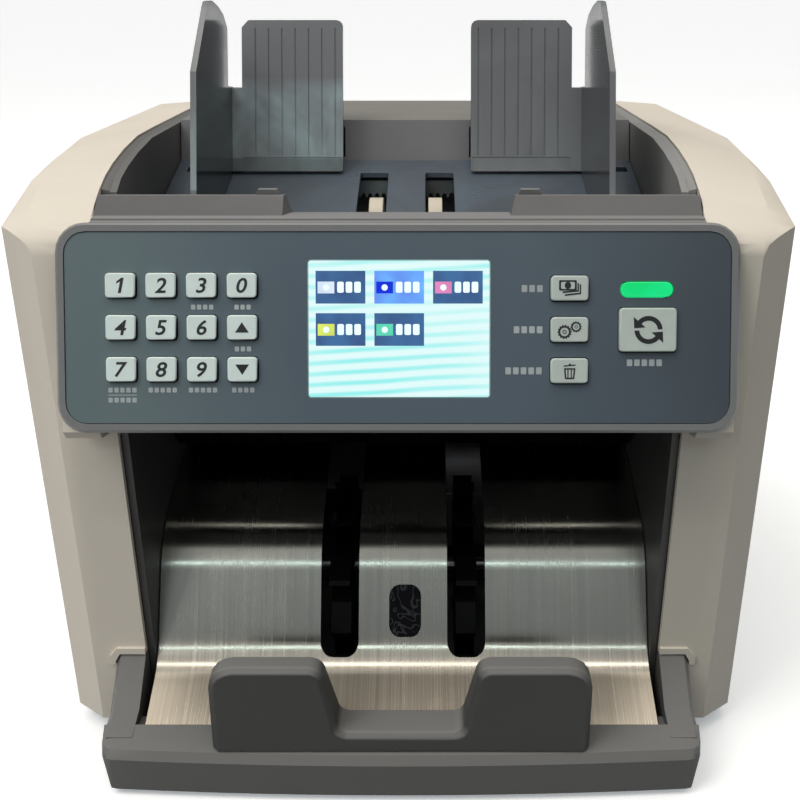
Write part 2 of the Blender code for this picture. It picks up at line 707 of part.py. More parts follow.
def make_pulleys():
    feed = (0.0, *FEED_AXIS)
    low, high = PICKUP_LANE
    r = SMALL_PULLEY_RADIUS
    double = [
        (low, SHAFT + GAP), (low, r + 1.6), (low + 0.7, r + 1.6), (low + 0.7, r), (high, r),
        *pulley_profile(DRIVE_LANE, FEED_PULLEY_RADIUS)[1:],
    ]
    turned("feed_pulley", double, FEED_AXIS, "white_plastic", origin=feed)
    turned("pickup_pulley", pulley_profile(PICKUP_LANE, r), PICKUP_AXIS, "white_plastic",
           origin=(0.0, *PICKUP_AXIS))
    turned("stacker_pulley", pulley_profile(DRIVE_LANE, STACKER_PULLEY_RADIUS), STACKER_AXIS, "white_plastic",
           origin=(0.0, *STACKER_AXIS))
    lane_low, lane_high = DRIVE_LANE
    m = MOTOR_PULLEY_RADIUS
    motor_profile = [
        (lane_low, m + 1.6), (lane_low + 0.7, m + 1.6), (lane_low + 0.7, m), (lane_high - 0.7, m),
        (lane_high - 0.7, m + 1.6), (lane_high, m + 1.6), (lane_high, SHAFT), (-97.0, SHAFT),
    ]
    solid_of_turn("motor_pulley", motor_profile, MOTOR_AXIS, "aluminium", origin=(0.0, *MOTOR_AXIS))


def belt_loop(wheels, clearance):
    """Outline of a belt around pulleys given as ((depth, height), radius), counter-clockwise."""
    loop = []
    count = len(wheels)
    spans = []
    for i in range(count):
        (a, ra), (b, rb) = wheels[i], wheels[(i + 1) % count]
        line = Vector(b) - Vector(a)
        direction = math.atan2(line.y, line.x)
        tilt = math.asin((ra - rb) / line.length)
        spans.append(direction - math.pi / 2 + tilt)
    for i in range(count):
        start, end = spans[i - 1], spans[i]
        while end < start:
            end += 2.0 * math.pi
        centre, radius = wheels[i]
        steps = max(3, int((end - start) / math.radians(20)))
        for k in range(steps + 1):
            angle = start + (end - start) * k / steps
            reach = radius + clearance
            loop.append((centre[0] + reach * math.cos(angle), centre[1] + reach * math.sin(angle)))
    return loop


def make_belts():
    drive = [
        (STACKER_AXIS, STACKER_PULLEY_RADIUS), (MOTOR_AXIS, MOTOR_PULLEY_RADIUS),
        (FEED_AXIS, FEED_PULLEY_RADIUS),
    ]
    pickup = [(FEED_AXIS, SMALL_PULLEY_RADIUS), (PICKUP_AXIS, SMALL_PULLEY_RADIUS)]
    for name, wheels, lane in (("drive_belt", drive, DRIVE_LANE), ("pickup_belt", pickup, PICKUP_LANE)):
        outer = belt_loop(wheels, 1.5)
        inner = belt_loop(wheels, GAP)
        ring_prism(name, outer, inner, lane[0] + 1.0, lane[1] - 1.0, "rubber")


def make_motor():
    motor = rod("drive_motor", MOTOR_AXIS, 18.0, -105.6, -58.0, "aluminium", count=32)
    combine(motor, rod("motor_bore", MOTOR_AXIS, SHAFT + GAP, -107.0, -94.0, "aluminium"))


def make_electronics():
    front = [(-15, 154), (11, 139), (24.5, 139), (24.5, 166), (12, 166), (12, 146), (-12, 159)]
    prism("front_sensor_guide", front, "X", -104.5, 104.5, "black")
    rear = [(27.5, 162), (27.5, 139), (60, 108), (84, 104.5), (84, 107), (61, 111.2), (38, 133.4), (38, 162)]
    prism("rear_sensor_guide", rear, "X", -104.5, 104.5, "black")
    board = box("main_board", (-100, 100), (98, 200), (9.5, 11.1), "board")
    blocks = [((-92, -60), (104, 130), 24), ((-50, -20), (150, 172), 18), ((-8, 10), (110, 130), 20)]
    for index, (x_range, y_range, top) in enumerate(blocks):
        combine(board, box(f"board_block_{index}", x_range, y_range, (10.5, top), "board"), "UNION")
    box("power_supply", (18, 98), (112, 186), (22, 54), "aluminium")


# ---------------------------------------------------------------- note guides

def pinion_outline():
    pitch = TEETH * MODULE / 2.0
    outline = []
    turn = 2.0 * math.pi / TEETH
    for tooth in range(TEETH):
        middle = (tooth + 0.5) * turn
        flank = [(pitch - 1.05, 0.13), (pitch, 0.08), (pitch + 0.75, 0.035)]
        outline += [(radius, middle - half) for radius, half in flank]
        outline += [(radius, middle + half) for radius, half in flank[::-1]]
    return [(HOPPER_MIDDLE + r * math.cos(a), PINION_HEIGHT + r * math.sin(a)) for r, a in outline]


def make_pinion():
    pinion = prism("guide_pinion", pinion_outline(), "Y", RACK_FRONT, RACK_BACK, "white_plastic",
                   origin=(HOPPER_MIDDLE, (RACK_FRONT + RACK_BACK) / 2, PINION_HEIGHT))
    bore = rod_y("pinion_bore", (HOPPER_MIDDLE, PINION_HEIGHT), 2.1, 100, 115, "white_plastic")
    combine(pinion, bore)


def rack_outline(side):
    """Toothed bar: the left rack runs above the pinion, the right one below it."""
    pitch = math.pi * MODULE
    up = -side
    line = PINION_HEIGHT + up * TEETH * MODULE / 2.0
    back = line + up * 7.0
    root = line + up * 1.1
    tip = line - up * 0.75
    end = -22.5
    outline = [(GUIDE_ARM[1], back), (GUIDE_ARM[1], root)]
    first = int((GUIDE_ARM[0] - 2.0) / pitch)
    last = -int(-(end + 1.0) / pitch)
    for tooth in range(first, last - 1, -1):
        for shift, level in ((0.95, root), (0.35, tip), (-0.35, tip), (-0.95, root)):
            outline.append((tooth * pitch + shift, level))
    outline += [(end, root), (end, back)]
    return [(hopper_x(side, x), z) for x, z in outline]


def guide_lean(height):
    """Depth of the leaning note rest at the given height."""
    return 100.6 + GUIDE_LEAN * (height - FEED_LEVEL[1])


def note_guide(name, side):
    """Side plate, leaning rest plate, arm and rack in one moulding."""
    outline = [
        (35.0, feed_height(35.0) + 0.6), (23.4, 209.5), (25.5, 230.0), (43.0, 274.0), (58.0, 285.2),
        (73.0, 296.4), (77.0, 298.6), (84.0, 298.8), (96.0, 296.4), (106.5, 292.8), (113.4, 287.0),
        (105.6, GUIDE_NOTCH + 1.5), (guide_lean(GUIDE_NOTCH) + 3.6, GUIDE_NOTCH),
        (guide_lean(feed_height(104.0) + 0.6) + 3.0, feed_height(104.0) + 0.6),
    ]
    sides = (hopper_x(side, GUIDE_INNER), hopper_x(side, GUIDE_OUTER))
    guide = prism(name, outline, "X", *sides, "guide")
    low = feed_height(105.5) + 0.5
    inner, outer = 29.2, 75.2
    face = filleted([
        (inner, low, 1.2), (inner, 289.9, 3.2), (outer - 3.0, 289.9, 0), (outer, 286.9, 0),
        (outer, GUIDE_NOTCH - 0.2, 0), (GUIDE_INNER + 1.0, GUIDE_NOTCH - 0.2, 0), (GUIDE_INNER + 1.0, low, 0),
    ])
    rings = []
    for thickness in (0.0, 3.4):
        rings.append([(hopper_x(side, x), guide_lean(z) + thickness, z) for x, z in face])
    combine(guide, loft(name + "_back", rings, "guide"), "UNION")
    arm_low = PINION_HEIGHT + (9.0 if side < 0 else -14.9)
    places = [(GUIDE_ARM[0], arm_low), (GUIDE_ARM[1], arm_low), (GUIDE_ARM[1], 236.0), (GUIDE_ARM[0], 236.0)]
    arm = [(hopper_x(side, x), z) for x, z in places]
    combine(guide, prism(name + "_arm", arm, "Y", RACK_FRONT, RACK_BACK, "guide"), "UNION")
    combine(guide, prism(name + "_rack", rack_outline(side), "Y", RACK_FRONT, RACK_BACK, "guide"), "UNION")
    return guide


# ---------------------------------------------------------------- control panel

def panel_matrix():
    top, bottom = Vector(PANEL_TOP), Vector(PANEL_BOTTOM)
    middle = (top + bottom) / 2
    up = (top - bottom).normalized()
    turn = math.atan2(up.y, up.x)
    place = Matrix.Translation(Vector((0.0, middle.x + DEPTH_SHIFT, middle.y)) * MM)
    return place @ Matrix.Rotation(turn, 4, "X")


def on_panel(item):
    item.matrix_world = panel_matrix() @ item.matrix_basis
    return item


def panel_height():
    return (Vector(PANEL_TOP) - Vector(PANEL_BOTTOM)).length


def panel_prism(name, outline, low, high, look):
    return on_panel(prism(name, outline, "Z", low, high, look, shifted=False))


def panel_box(name, x_range, y_range, z_range, look):
    return on_panel(box(name, x_range, y_range, z_range, look, shifted=False))


def key_places():
    """Name, centre and size of every key on the panel."""
    names = [
        ["key_1", "key_2", "key_3", "key_0"],
        ["key_4", "key_5", "key_6", "key_up"],
        ["key_7", "key_8", "key_9", "key_down"],
    ]
    places = []
    for row, line in enumerate(names):
        for column, name in enumerate(line):
            centre = (KEY_FIRST[0] + column * KEY_PITCH_X, KEY_FIRST[1] - row * KEY_PITCH_Y)
            places.append((name, centre, KEY_SIZE))
    for row, name in enumerate(("key_currency", "key_mode", "key_clear")):
        places.append((name, (SIDE_KEY_X, 14.1 - row * 14.7), SIDE_KEY_SIZE))
    places.append(("key_start", START_KEY, START_KEY_SIZE))
    return places


def make_key(name, centre, size):
    width, height = size
    levels = [
        (-5.8, 0.7), (-4.7, 0.7), (-4.7, 0.0), (0.9, 0.0), (1.35, -0.45),
    ]
    rings = []
    for level, extra in levels:
        outline = rounded(width + 2 * extra, height + 2 * extra, 1.3 + extra, 2)
        rings.append([(x, y, level) for x, y in outline])
    key = loft(name, rings, "key", shifted=False)
    key.location = Vector((centre[0], centre[1], 0.0)) * MM
    bpy.context.view_layer.update()
    return on_panel(key)


def panel_holes(target, label, look):
    """Cut the openings for keys, screen and light."""
    for name, centre, size in key_places():
        hole = rounded(size[0] + 2 * KEY_GAP, size[1] + 2 * KEY_GAP, 1.5, 2, centre)
        combine(target, panel_prism(f"{label}_{name}", hole, -4.6, 3.0, look))
    light = rounded(LIGHT_SIZE[0] + 2 * GAP, LIGHT_SIZE[1] + 2 * GAP, LIGHT_SIZE[1] / 2, 4, LIGHT_PLACE)
    combine(target, panel_prism(label + "_light", light, -8.0, 3.0, look))
    screen = rounded(SCREEN_SIZE[0] + 2 * GAP, SCREEN_SIZE[1] + 2 * GAP, 0.8, 1, SCREEN_PLACE)
    combine(target, panel_prism(label + "_screen", screen, -8.0, 3.0, look))


def make_panel():
    width, height = PANEL_WIDTH, panel_height()
    levels = [(-PANEL_DEPTH, 0.0), (-1.2, 0.0), (0.0, -1.0)]
    rings = []
    for level, extra in levels:
        outline = rounded(width + 2 * extra, height + 2 * extra, PANEL_CORNER + extra, 6)
        rings.append([(x, y, level) for x, y in outline])
    bezel = on_panel(loft("panel_bezel", rings, "bezel", shifted=False))
    inner = rounded(width - 2 * PANEL_RIM, height - 2 * PANEL_RIM, PANEL_CORNER - PANEL_RIM + 0.6, 5)
    combine(bezel, panel_prism("overlay_seat", inner, -OVERLAY_RECESS, 3.0, "bezel"))
    back = rounded(width - 2 * SHEET, height - 2 * SHEET, PANEL_CORNER - SHEET, 4)
    combine(bezel, panel_prism("bezel_hollow", back, -14.0, -4.4, "bezel"))
    panel_holes(bezel, "bezel_hole", "bezel")
    trim = 2 * PANEL_RIM + 2 * GAP
    sheet = rounded(width - trim, height - trim, PANEL_CORNER - PANEL_RIM, 5)
    overlay = panel_prism("panel_overlay", sheet, -OVERLAY_RECESS + GAP, -0.4, "overlay")
    panel_holes(overlay, "overlay_hole", "overlay")
    screen = rounded(SCREEN_SIZE[0], SCREEN_SIZE[1], 0.6, 1, SCREEN_PLACE)
    panel_prism("display_screen", screen, -6.4, -0.8, "screen")
    light = rounded(LIGHT_SIZE[0], LIGHT_SIZE[1], LIGHT_SIZE[1] / 2 - 0.1, 4, LIGHT_PLACE)
    panel_prism("status_light", light, -6.4, 0.3, "light")
    panel_box("keypad_board", (-112, 112), (-32, 32), (-8.7, -7.1), "board")
    for name, centre, size in key_places():
        make_key(name, centre, size)


# ---------------------------------------------------------------- rear pieces

def make_rear_door():
    origin = (0.0, *DOOR_AXIS)
    door = box("rear_door", (-DOOR_HALF, DOOR_HALF), (209.3, 211.6), DOOR_SPAN, "casing", origin=origin)
    for side in (-1, 1):
        low, high = sorted((side * 82.0, side * 86.5))
        combine(door, box(f"door_lug_{side}", (low, high), (204.6, 210.0), (85.2, 90.8), "casing"), "UNION")
        low, high = sorted((side * 84.0, side * 93.4))
        combine(door, rod(f"door_pin_{side}", DOOR_AXIS, 2.0, low, high, "casing", count=20), "UNION")
    combine(door, box("door_grip", (-18, 18), (210.6, 213), (184, 192), "casing"))
    return door


def make_switch():
    y, z = SWITCH_AXIS
    face = [(-4.0, -6.0), (3.6, -9.3), (2.3, 0.0), (3.6, 9.3), (-4.0, 6.0)]
    lean = math.radians(-6)
    outline = []
    for dy, dz in face:
        turned_y = dy * math.cos(lean) - dz * math.sin(lean)
        turned_z = dy * math.sin(lean) + dz * math.cos(lean)
        outline.append((y + turned_y, z + turned_z))
    prism("power_switch", outline, "X", 30.4, 45.6, "black", origin=(38.0, y, z))


def make_inlet():
    inlet = box("power_inlet", (58.2, 85.8), (188, 211.5), (20.2, 41.8), "black")
    combine(inlet, box("inlet_socket", (61.5, 82.5), (196, 214), (23.5, 38.5), "black"))
    for index, x in enumerate((65.5, 72.0, 78.5)):
        blade = box(f"inlet_blade_{index}", (x - 0.9, x + 0.9), (195, 205.5), (29, 33), "black")
        combine(inlet, blade, "UNION")


def main():
    clear_scene()
    side_cover("left_side_cover", -1)
    side_cover("right_side_cover", 1)
    side_frame("left_side_frame", -1)
    side_frame("right_side_frame", 1)
    make_base()
    make_feet()
    make_note_stop()
    make_stacker_plate()
    make_sensor_window()
    make_stacker()
    make_hopper_front_cover()
    make_feed_plate()
    make_rear_housing()
    make_rollers()
    make_pulleys()
    make_belts()
    make_motor()
    make_electronics()
    make_pinion()
    note_guide("left_note_guide", -1)
    note_guide("right_note_guide", 1)
    make_panel()
    make_rear_door()
    make_switch()
    make_inlet()


main()
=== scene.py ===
"""Looks of the banknote counting machine: finished surfaces, materials, light and camera."""

import json
import math

import bmesh
import bpy
from mathutils import Matrix, Vector


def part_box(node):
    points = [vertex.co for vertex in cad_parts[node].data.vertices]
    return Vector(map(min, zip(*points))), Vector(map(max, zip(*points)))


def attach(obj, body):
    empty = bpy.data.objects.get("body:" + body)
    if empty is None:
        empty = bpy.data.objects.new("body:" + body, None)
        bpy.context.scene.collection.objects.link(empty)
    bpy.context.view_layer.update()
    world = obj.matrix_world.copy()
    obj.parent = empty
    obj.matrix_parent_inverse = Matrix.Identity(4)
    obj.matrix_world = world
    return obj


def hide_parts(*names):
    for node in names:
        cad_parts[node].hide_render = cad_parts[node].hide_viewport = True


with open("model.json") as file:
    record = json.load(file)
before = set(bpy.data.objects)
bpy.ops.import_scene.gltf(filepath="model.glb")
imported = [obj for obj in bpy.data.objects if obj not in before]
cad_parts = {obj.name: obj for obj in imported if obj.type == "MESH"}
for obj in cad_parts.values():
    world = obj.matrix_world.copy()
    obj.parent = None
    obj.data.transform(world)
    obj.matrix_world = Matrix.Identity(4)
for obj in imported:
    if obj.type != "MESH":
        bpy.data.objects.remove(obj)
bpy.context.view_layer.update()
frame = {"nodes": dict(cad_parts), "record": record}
NODES = frame["nodes"]
RECORD = frame["record"]
BODY_OF = {node: body for body, members in RECORD["behaviour"]["bodies"].items() for node in members}
SLOT_OF = {entry["node"]: entry["material_slot"] for entry in RECORD["subparts"]}
MM = 0.001

# Lengths are in millimetres unless a comment says otherwise. Depths are measured from the front edge
# of the side covers, and the base reaches this far ahead of it.
BASE_REACH = 50.5
COVER_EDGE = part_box("base")[0].y + BASE_REACH * MM

# The control panel's upper and lower edge, as (depth, height), and levels over the panel's plane.
PANEL_TOP = (-8.6, 226.9)
PANEL_BOTTOM = (-34.3, 156.2)
KEY_FACE = 1.35
LABEL_LEVEL = -0.4
TILE_LEVEL = -0.8

# Heights in metres. Between the first two the painted shade on the pocket's walls fades out, FLOOR_TOP is the
# top of the steel sheet's worn floor, and between the last two the sheet takes a darker, colder tone.
POCKET_SHADE_FADE = (0.15, 0.2)
FLOOR_TOP = 0.0325
COLD_TONE_HEIGHTS = (0.042, 0.046)
# Near-black tone of the painted shade deep in the pocket.
POCKET_SHADE_TONE = (0.03, 0.03, 0.0296)


def at(x, y, z):
    """A point given in millimetres: to the right, back from the covers' front edge, and up."""
    return Vector((x * MM, y * MM + COVER_EDGE, z * MM))


def panel_matrix():
    """Turns the control panel's own plane, in millimetres, into the shared frame."""
    top, bottom = at(0, *PANEL_TOP), at(0, *PANEL_BOTTOM)
    up = top - bottom
    turn = Matrix.Rotation(math.atan2(up.z, up.y), 4, "X")
    return Matrix.Translation((top + bottom) / 2) @ turn @ Matrix.Scale(MM, 4)


# ---------------------------------------------------------------- materials

class Nodes:
    """A short way to write a material's node tree."""

    def __init__(self, name, colour, roughness, metallic=0.0):
        self.material = bpy.data.materials.new(name)
        self.material.use_nodes = True
        self.tree = self.material.node_tree
        self.shader = self.tree.nodes["Principled BSDF"]
        self.shader.inputs["Base Color"].default_value = (*colour, 1.0)
        self.shader.inputs["Roughness"].default_value = roughness
        self.shader.inputs["Metallic"].default_value = metallic
        self.place = self.tree.nodes.new("ShaderNodeTexCoord").outputs["Object"]

    def node(self, kind, inputs=None, **settings):
        """Add a node; an input is a number or colour, or another node's output."""
        made = self.tree.nodes.new(kind)
        for key, value in settings.items():
            setattr(made, key, value)
        for key, value in (inputs or {}).items():
            if isinstance(value, bpy.types.NodeSocket):
                self.tree.links.new(value, made.inputs[key])
            else:
                made.inputs[key].default_value = value
        return made

    def stretched(self, scale, turn=(0.0, 0.0, 0.0)):
        inputs = {"Vector": self.place, "Scale": scale, "Rotation": turn}
        return self.node("ShaderNodeMapping", inputs).outputs["Vector"]

    def noise(self, scale, detail=2.0, roughness=0.5, place=None, distortion=0.0):
        inputs = {
            "Vector": place or self.place, "Scale": scale, "Detail": detail, "Roughness": roughness,
            "Distortion": distortion,
        }
        return self.node("ShaderNodeTexNoise", inputs).outputs["Fac"]

    def span(self, value, low, high, to_low, to_high):
        """Carry the range from low to high over to another one, and clamp what lies outside it."""
        made = self.node("ShaderNodeMapRange", {
            "Value": value, "From Min": low, "From Max": high, "To Min": to_low, "To Max": to_high,
        })
        return made.outputs["Result"]

    def math(self, operation, first, second):
        return self.node("ShaderNodeMath", {0: first, 1: second}, operation=operation).outputs[0]

    def mix(self, factor, first, second):
        made = self.node("ShaderNodeMix", data_type="RGBA")
        for name, value in (("Factor_Float", factor), ("A_Color", first), ("B_Color", second)):
            socket = next(s for s in made.inputs if s.identifier == name)
            if isinstance(value, bpy.types.NodeSocket):
                self.tree.links.new(value, socket)
            elif name == "Factor_Float":
                socket.default_value = value
            else:
                socket.default_value = (*value, 1.0)
        return next(s for s in made.outputs if s.identifier == "Result_Color")

    def to(self, socket, value):
        """Feed one of the shader's inputs."""
        self.tree.links.new(value, self.shader.inputs[socket])

    def bump(self, height, strength, distance):
        made = self.node("ShaderNodeBump", {"Height": height, "Strength": strength, "Distance": distance})
        self.to("Normal", made.outputs["Normal"])


def shade(colour, factor):
    return tuple(min(1.0, channel * factor) for channel in colour)


def facing(look, axis):
    """How far a surface faces along one axis of the machine, from -1 to 1."""
    normal = look.node("ShaderNodeTexCoord").outputs["Normal"]
    return look.node("ShaderNodeSeparateXYZ", {0: normal}).outputs[axis]


def moulded(name, colour, roughness, grain=2600.0, bump=0.35, blotch=0.05, specular=0.5,
            lit_upper=None, tilt=(0.25, 0.8), pocket_shading=0.0):
    """Moulded plastic with a fine spark-eroded grain, faint blotches and dusty spots.

    Faces that look up can take another tone than upright ones, painted light and shade, and the pocket's
    depths a darker one, painted shade.
    """
    look = Nodes(name, colour, roughness)
    look.shader.inputs["Specular IOR Level"].default_value = specular
    wide = look.noise(38.0, 3.0)
    blotches = look.span(wide, 0.3, 0.7, 0.0, 1.0)
    tone = look.mix(blotches, shade(colour, 1 - blotch), shade(colour, 1 + blotch))
    speck = look.noise(900.0, 2.0)
    tone = look.mix(look.span(speck, 0.68, 0.78, 0.0, 0.3), tone, shade(colour, 1.25))
    # Faces that look up take their own tone and upright ones the base tone: painted light and shade.
    if lit_upper:
        tone = look.mix(look.span(facing(look, "Z"), *tilt, 0.0, 1.0), tone, lit_upper)
    # The pocket's walls darken towards its depths: painted shade.
    if pocket_shading:
        height = look.node("ShaderNodeSeparateXYZ", {0: look.place}).outputs["Z"]
        tone = look.mix(look.span(height, *POCKET_SHADE_FADE, pocket_shading, 0.0), tone, POCKET_SHADE_TONE)
    look.to("Base Color", tone)
    fine = look.noise(grain, 2.0, 0.6)
    rough = look.math("ADD", look.span(wide, 0.3, 0.7, -0.05, 0.05), look.span(fine, 0.3, 0.7, -0.06, 0.06))
    look.to("Roughness", look.math("ADD", rough, roughness))
    look.bump(fine, bump, 0.00012)
    return look.material


def key_plastic(name, colour):
    """Pale key cap; its walls below and to the right take a near-black tone, painted shade."""
    look = Nodes(name, colour, 0.4)
    normal = look.node("ShaderNodeTexCoord").outputs["Normal"]
    # Walls that face down and to the right are darkened: painted shade.
    lean = look.node("ShaderNodeVectorMath", {0: normal, 1: (0.55, 0.0, -0.8)}, operation="DOT_PRODUCT")
    wall = look.span(lean.outputs["Value"], 0.25, 0.5, 0.0, 1.0)
    wear = look.noise(160.0, 3.0, 0.6)
    tone = look.mix(look.span(wear, 0.3, 0.7, 0.0, 1.0), shade(colour, 0.97), shade(colour, 1.03))
    look.to("Base Color", look.mix(wall, tone, (0.012, 0.014, 0.016)))
    fine = look.noise(2600.0, 2.0, 0.6)
    look.to("Roughness", look.span(wear, 0.3, 0.7, 0.34, 0.46))
    look.bump(fine, 0.2, 0.00012)
    return look.material


def polished(name, colour, roughness, wave, specular):
    """Glossy plastic with a slight moulding wave, faint clouds, wiped streaks and dust."""
    look = Nodes(name, colour, roughness)
    look.shader.inputs["Specular IOR Level"].default_value = specular
    dust = look.noise(700.0, 4.0, 0.7)
    cloud = look.noise(30.0, 3.0, 0.6)
    tone = look.mix(look.span(cloud, 0.35, 0.65, 0.0, 1.0), shade(colour, 0.94), shade(colour, 1.06))
    tone = look.mix(look.span(dust, 0.62, 0.8, 0.0, 0.4), tone, shade(colour, 1.6))
    look.to("Base Color", tone)
    wipe = look.noise(22.0, 4.0, 0.6, look.stretched((1.0, 1.0, 4.0)))
    look.to("Roughness", look.span(wipe, 0.25, 0.75, max(0.02, roughness - 0.04), roughness + 0.07))
    slow = look.noise(26.0, 1.0)
    look.bump(slow, wave, 0.0006)
    return look.material


def brushed(name, colour, roughness, scale, lines=0.12, floor=None):
    """Metal with fine stretched scratches and faint smudges.

    With a floor height, what lies below it is worn dull and warm, and the sheet above it takes a darker,
    colder tone in streaks.
    """
    look = Nodes(name, colour, roughness, 1.0)
    fine = look.noise(1.0, 4.0, 0.6, look.stretched(scale))
    wide = look.noise(1.0, 3.0, 0.5, look.stretched(tuple(0.16 * s for s in scale)))
    smudge = look.noise(26.0, 4.0, 0.6)
    tone = look.mix(look.span(fine, 0.3, 0.7, 0.0, 1.0), shade(colour, 0.84), shade(colour, 1.12))
    tone = look.mix(look.span(wide, 0.35, 0.65, 0.0, 0.5), tone, shade(colour, 0.88))
    tone = look.mix(look.span(smudge, 0.5, 0.75, 0.0, 0.3), tone, shade(colour, 0.86))
    if floor:
        height = look.node("ShaderNodeSeparateXYZ", {0: look.place}).outputs["Z"]
        colder = (colour[0] * 0.72, colour[1] * 0.79, colour[2] * 0.83)
        above = look.span(height, *COLD_TONE_HEIGHTS, 0.0, 1.0)
        tone = look.mix(look.math("MULTIPLY", above, look.span(wide, 0.2, 0.8, 0.5, 1.0)), tone, colder)
        clean = look.span(height, floor, floor + 0.003, 0.0, 1.0)
        scratched = look.mix(look.span(fine, 0.35, 0.65, 0.0, 1.0), (0.47, 0.415, 0.335), (0.67, 0.595, 0.49))
        tone = look.mix(clean, scratched, tone)
        look.to("Metallic", look.span(clean, 0.0, 1.0, 0.45, 1.0))
    look.to("Base Color", tone)
    rough = look.span(fine, 0.3, 0.7, -0.03, 0.04)
    touched = look.span(smudge, 0.3, 0.7, roughness - 0.02, roughness + 0.05)
    look.to("Roughness", look.math("ADD", rough, touched))
    look.bump(fine, lines, 0.00005)
    look.shader.inputs["Anisotropic"].default_value = 0.8
    look.shader.inputs["Anisotropic Rotation"].default_value = 0.25
    tangent = look.node("ShaderNodeTangent", direction_type="RADIAL", axis="X")
    look.to("Tangent", tangent.outputs["Tangent"])
    return look.material


def lens(name, colour, edge, strength, scale):
    """A lit part: its glow varies a little over the surface."""
    look = Nodes(name, shade(colour, 0.3), 0.2)
    soft = look.noise(scale, 2.0)
    glow = look.mix(look.span(soft, 0.35, 0.65, 0.0, 1.0), colour, edge)
    look.to("Emission Color", glow)
    look.shader.inputs["Emission Strength"].default_value = strength
    look.to("Roughness", look.span(soft, 0.3, 0.7, 0.15, 0.28))
    return look.material


def banded_screen(name, colour, band, strength):
    """The lit display: pale, with soft slanting bands and a fine pixel grid."""
    look = Nodes(name, (0.02, 0.025, 0.03), 0.12)
    wave = look.node(
        "ShaderNodeTexWave",
        {"Vector": look.stretched((1.0, 1.0, 1.0), (0.0, 0.05, 0.0)), "Scale": 86.0, "Distortion": 1.2,
         "Detail": 1.0, "Detail Scale": 0.4},
        wave_type="BANDS", bands_direction="Z",
    ).outputs["Fac"]
    soft = look.noise(26.0, 1.0)
    amount = look.math("MULTIPLY", look.span(wave, 0.3, 1.0, 0.0, 1.0), look.span(soft, 0.3, 0.6, 0.35, 1.0))
    look.to("Emission Color", look.mix(amount, colour, band))
    look.shader.inputs["Emission Strength"].default_value = strength
    grid = look.noise(5200.0, 1.0)
    look.to("Roughness", look.span(grid, 0.3, 0.7, 0.1, 0.2))
    return look.material


def smoked(name):
    """Smoked sensor lens with faint grey swirls of wiped dust."""
    look = Nodes(name, (0.01, 0.01, 0.012), 0.1)
    look.shader.inputs["Specular IOR Level"].default_value = 0.15
    swirl = look.noise(30.0, 1.0, 0.5, look.stretched((1.8, 1.0, 0.8)), 4.5)
    line = look.math("ABSOLUTE", look.math("SUBTRACT", swirl, 0.5), 0.0)
    dust = look.span(line, 0.0, 0.035, 0.25, 0.0)
    look.to("Base Color", look.mix(dust, (0.003, 0.003, 0.005), (0.2, 0.21, 0.23)))
    look.to("Roughness", look.span(swirl, 0.3, 0.7, 0.05, 0.16))
    look.bump(swirl, 0.15, 0.0003)
    return look.material


def tinted(name, colour, cold, roughness, side, heights=None):
    """Glossy plastic whose tone drifts: colder and clouded in front, and darker on its sides, painted shade.

    Three heights in metres say where a darker foot ends, and where the clouds start to fade and are gone.
    """
    look = Nodes(name, colour, roughness)
    look.shader.inputs["Specular IOR Level"].default_value = 0.35
    cloud = look.noise(34.0, 3.0, 0.6, look.stretched((1.0, 1.0, 0.45), (0.0, 0.35, 0.0)), 0.8)
    amount = look.span(cloud, 0.35, 0.68, 0.0, 1.0)
    if heights:
        foot, fade, gone = heights
        height = look.node("ShaderNodeSeparateXYZ", {0: look.place}).outputs["Z"]
        amount = look.math("MULTIPLY", amount, look.span(height, fade, gone, 1.0, 0.0))
    tone = look.mix(amount, colour, cold)
    if heights:
        tone = look.mix(look.span(height, foot, foot + 0.001, 0.6, 0.0), tone, side)
    # Faces turned to the sides take the darker tone: painted shade.
    across = look.math("ABSOLUTE", facing(look, "X"), 0.0)
    tone = look.mix(look.span(across, 0.4, 0.9, 0.0, 1.0), tone, side)
    dust = look.noise(700.0, 4.0, 0.7)
    tone = look.mix(look.span(dust, 0.62, 0.8, 0.0, 0.25), tone, shade(cold, 1.3))
    look.to("Base Color", tone)
    wipe = look.noise(22.0, 4.0, 0.6, look.stretched((1.0, 1.0, 4.0)))
    look.to("Roughness", look.span(wipe, 0.25, 0.75, roughness - 0.04, roughness + 0.08))
    look.bump(look.noise(26.0, 1.0), 0.05, 0.0006)
    return look.material


def graded(name, left, middle, right, roughness):
    """The panel's printed film: a smooth satin sheet, its tone drifting from left to right."""
    look = Nodes(name, left, roughness)
    across = look.node("ShaderNodeSeparateXYZ", {0: look.place}).outputs["X"]
    cloud = look.noise(9.0, 2.0, 0.5)
    place = look.math("ADD", across, look.span(cloud, 0.3, 0.7, -0.015, 0.015))
    tone = look.mix(look.span(place, -0.09, -0.035, 0.0, 1.0), left, middle)
    tone = look.mix(look.span(place, 0.04, 0.11, 0.0, 1.0), tone, right)
    dust = look.noise(900.0, 4.0, 0.7)
    tone = look.mix(look.span(dust, 0.64, 0.8, 0.0, 0.2), tone, shade(left, 1.5))
    look.to("Base Color", tone)
    wipe = look.noise(22.0, 4.0, 0.6, look.stretched((4.0, 1.0, 1.0)))
    look.to("Roughness", look.span(wipe, 0.25, 0.75, roughness - 0.04, roughness + 0.06))
    look.bump(look.noise(3200.0, 2.0), 0.05, 0.00005)
    return look.material


def casing(name, tone, lit_upper, tilt=(0.25, 0.8)):
    """Grey plastic of one moulding: one tone on upright faces and another on upper faces, painted light and
    shade.
    """
    return moulded(name, tone, 0.5, 1500.0, 0.6, 0.06, 0.25, lit_upper=lit_upper, tilt=tilt)


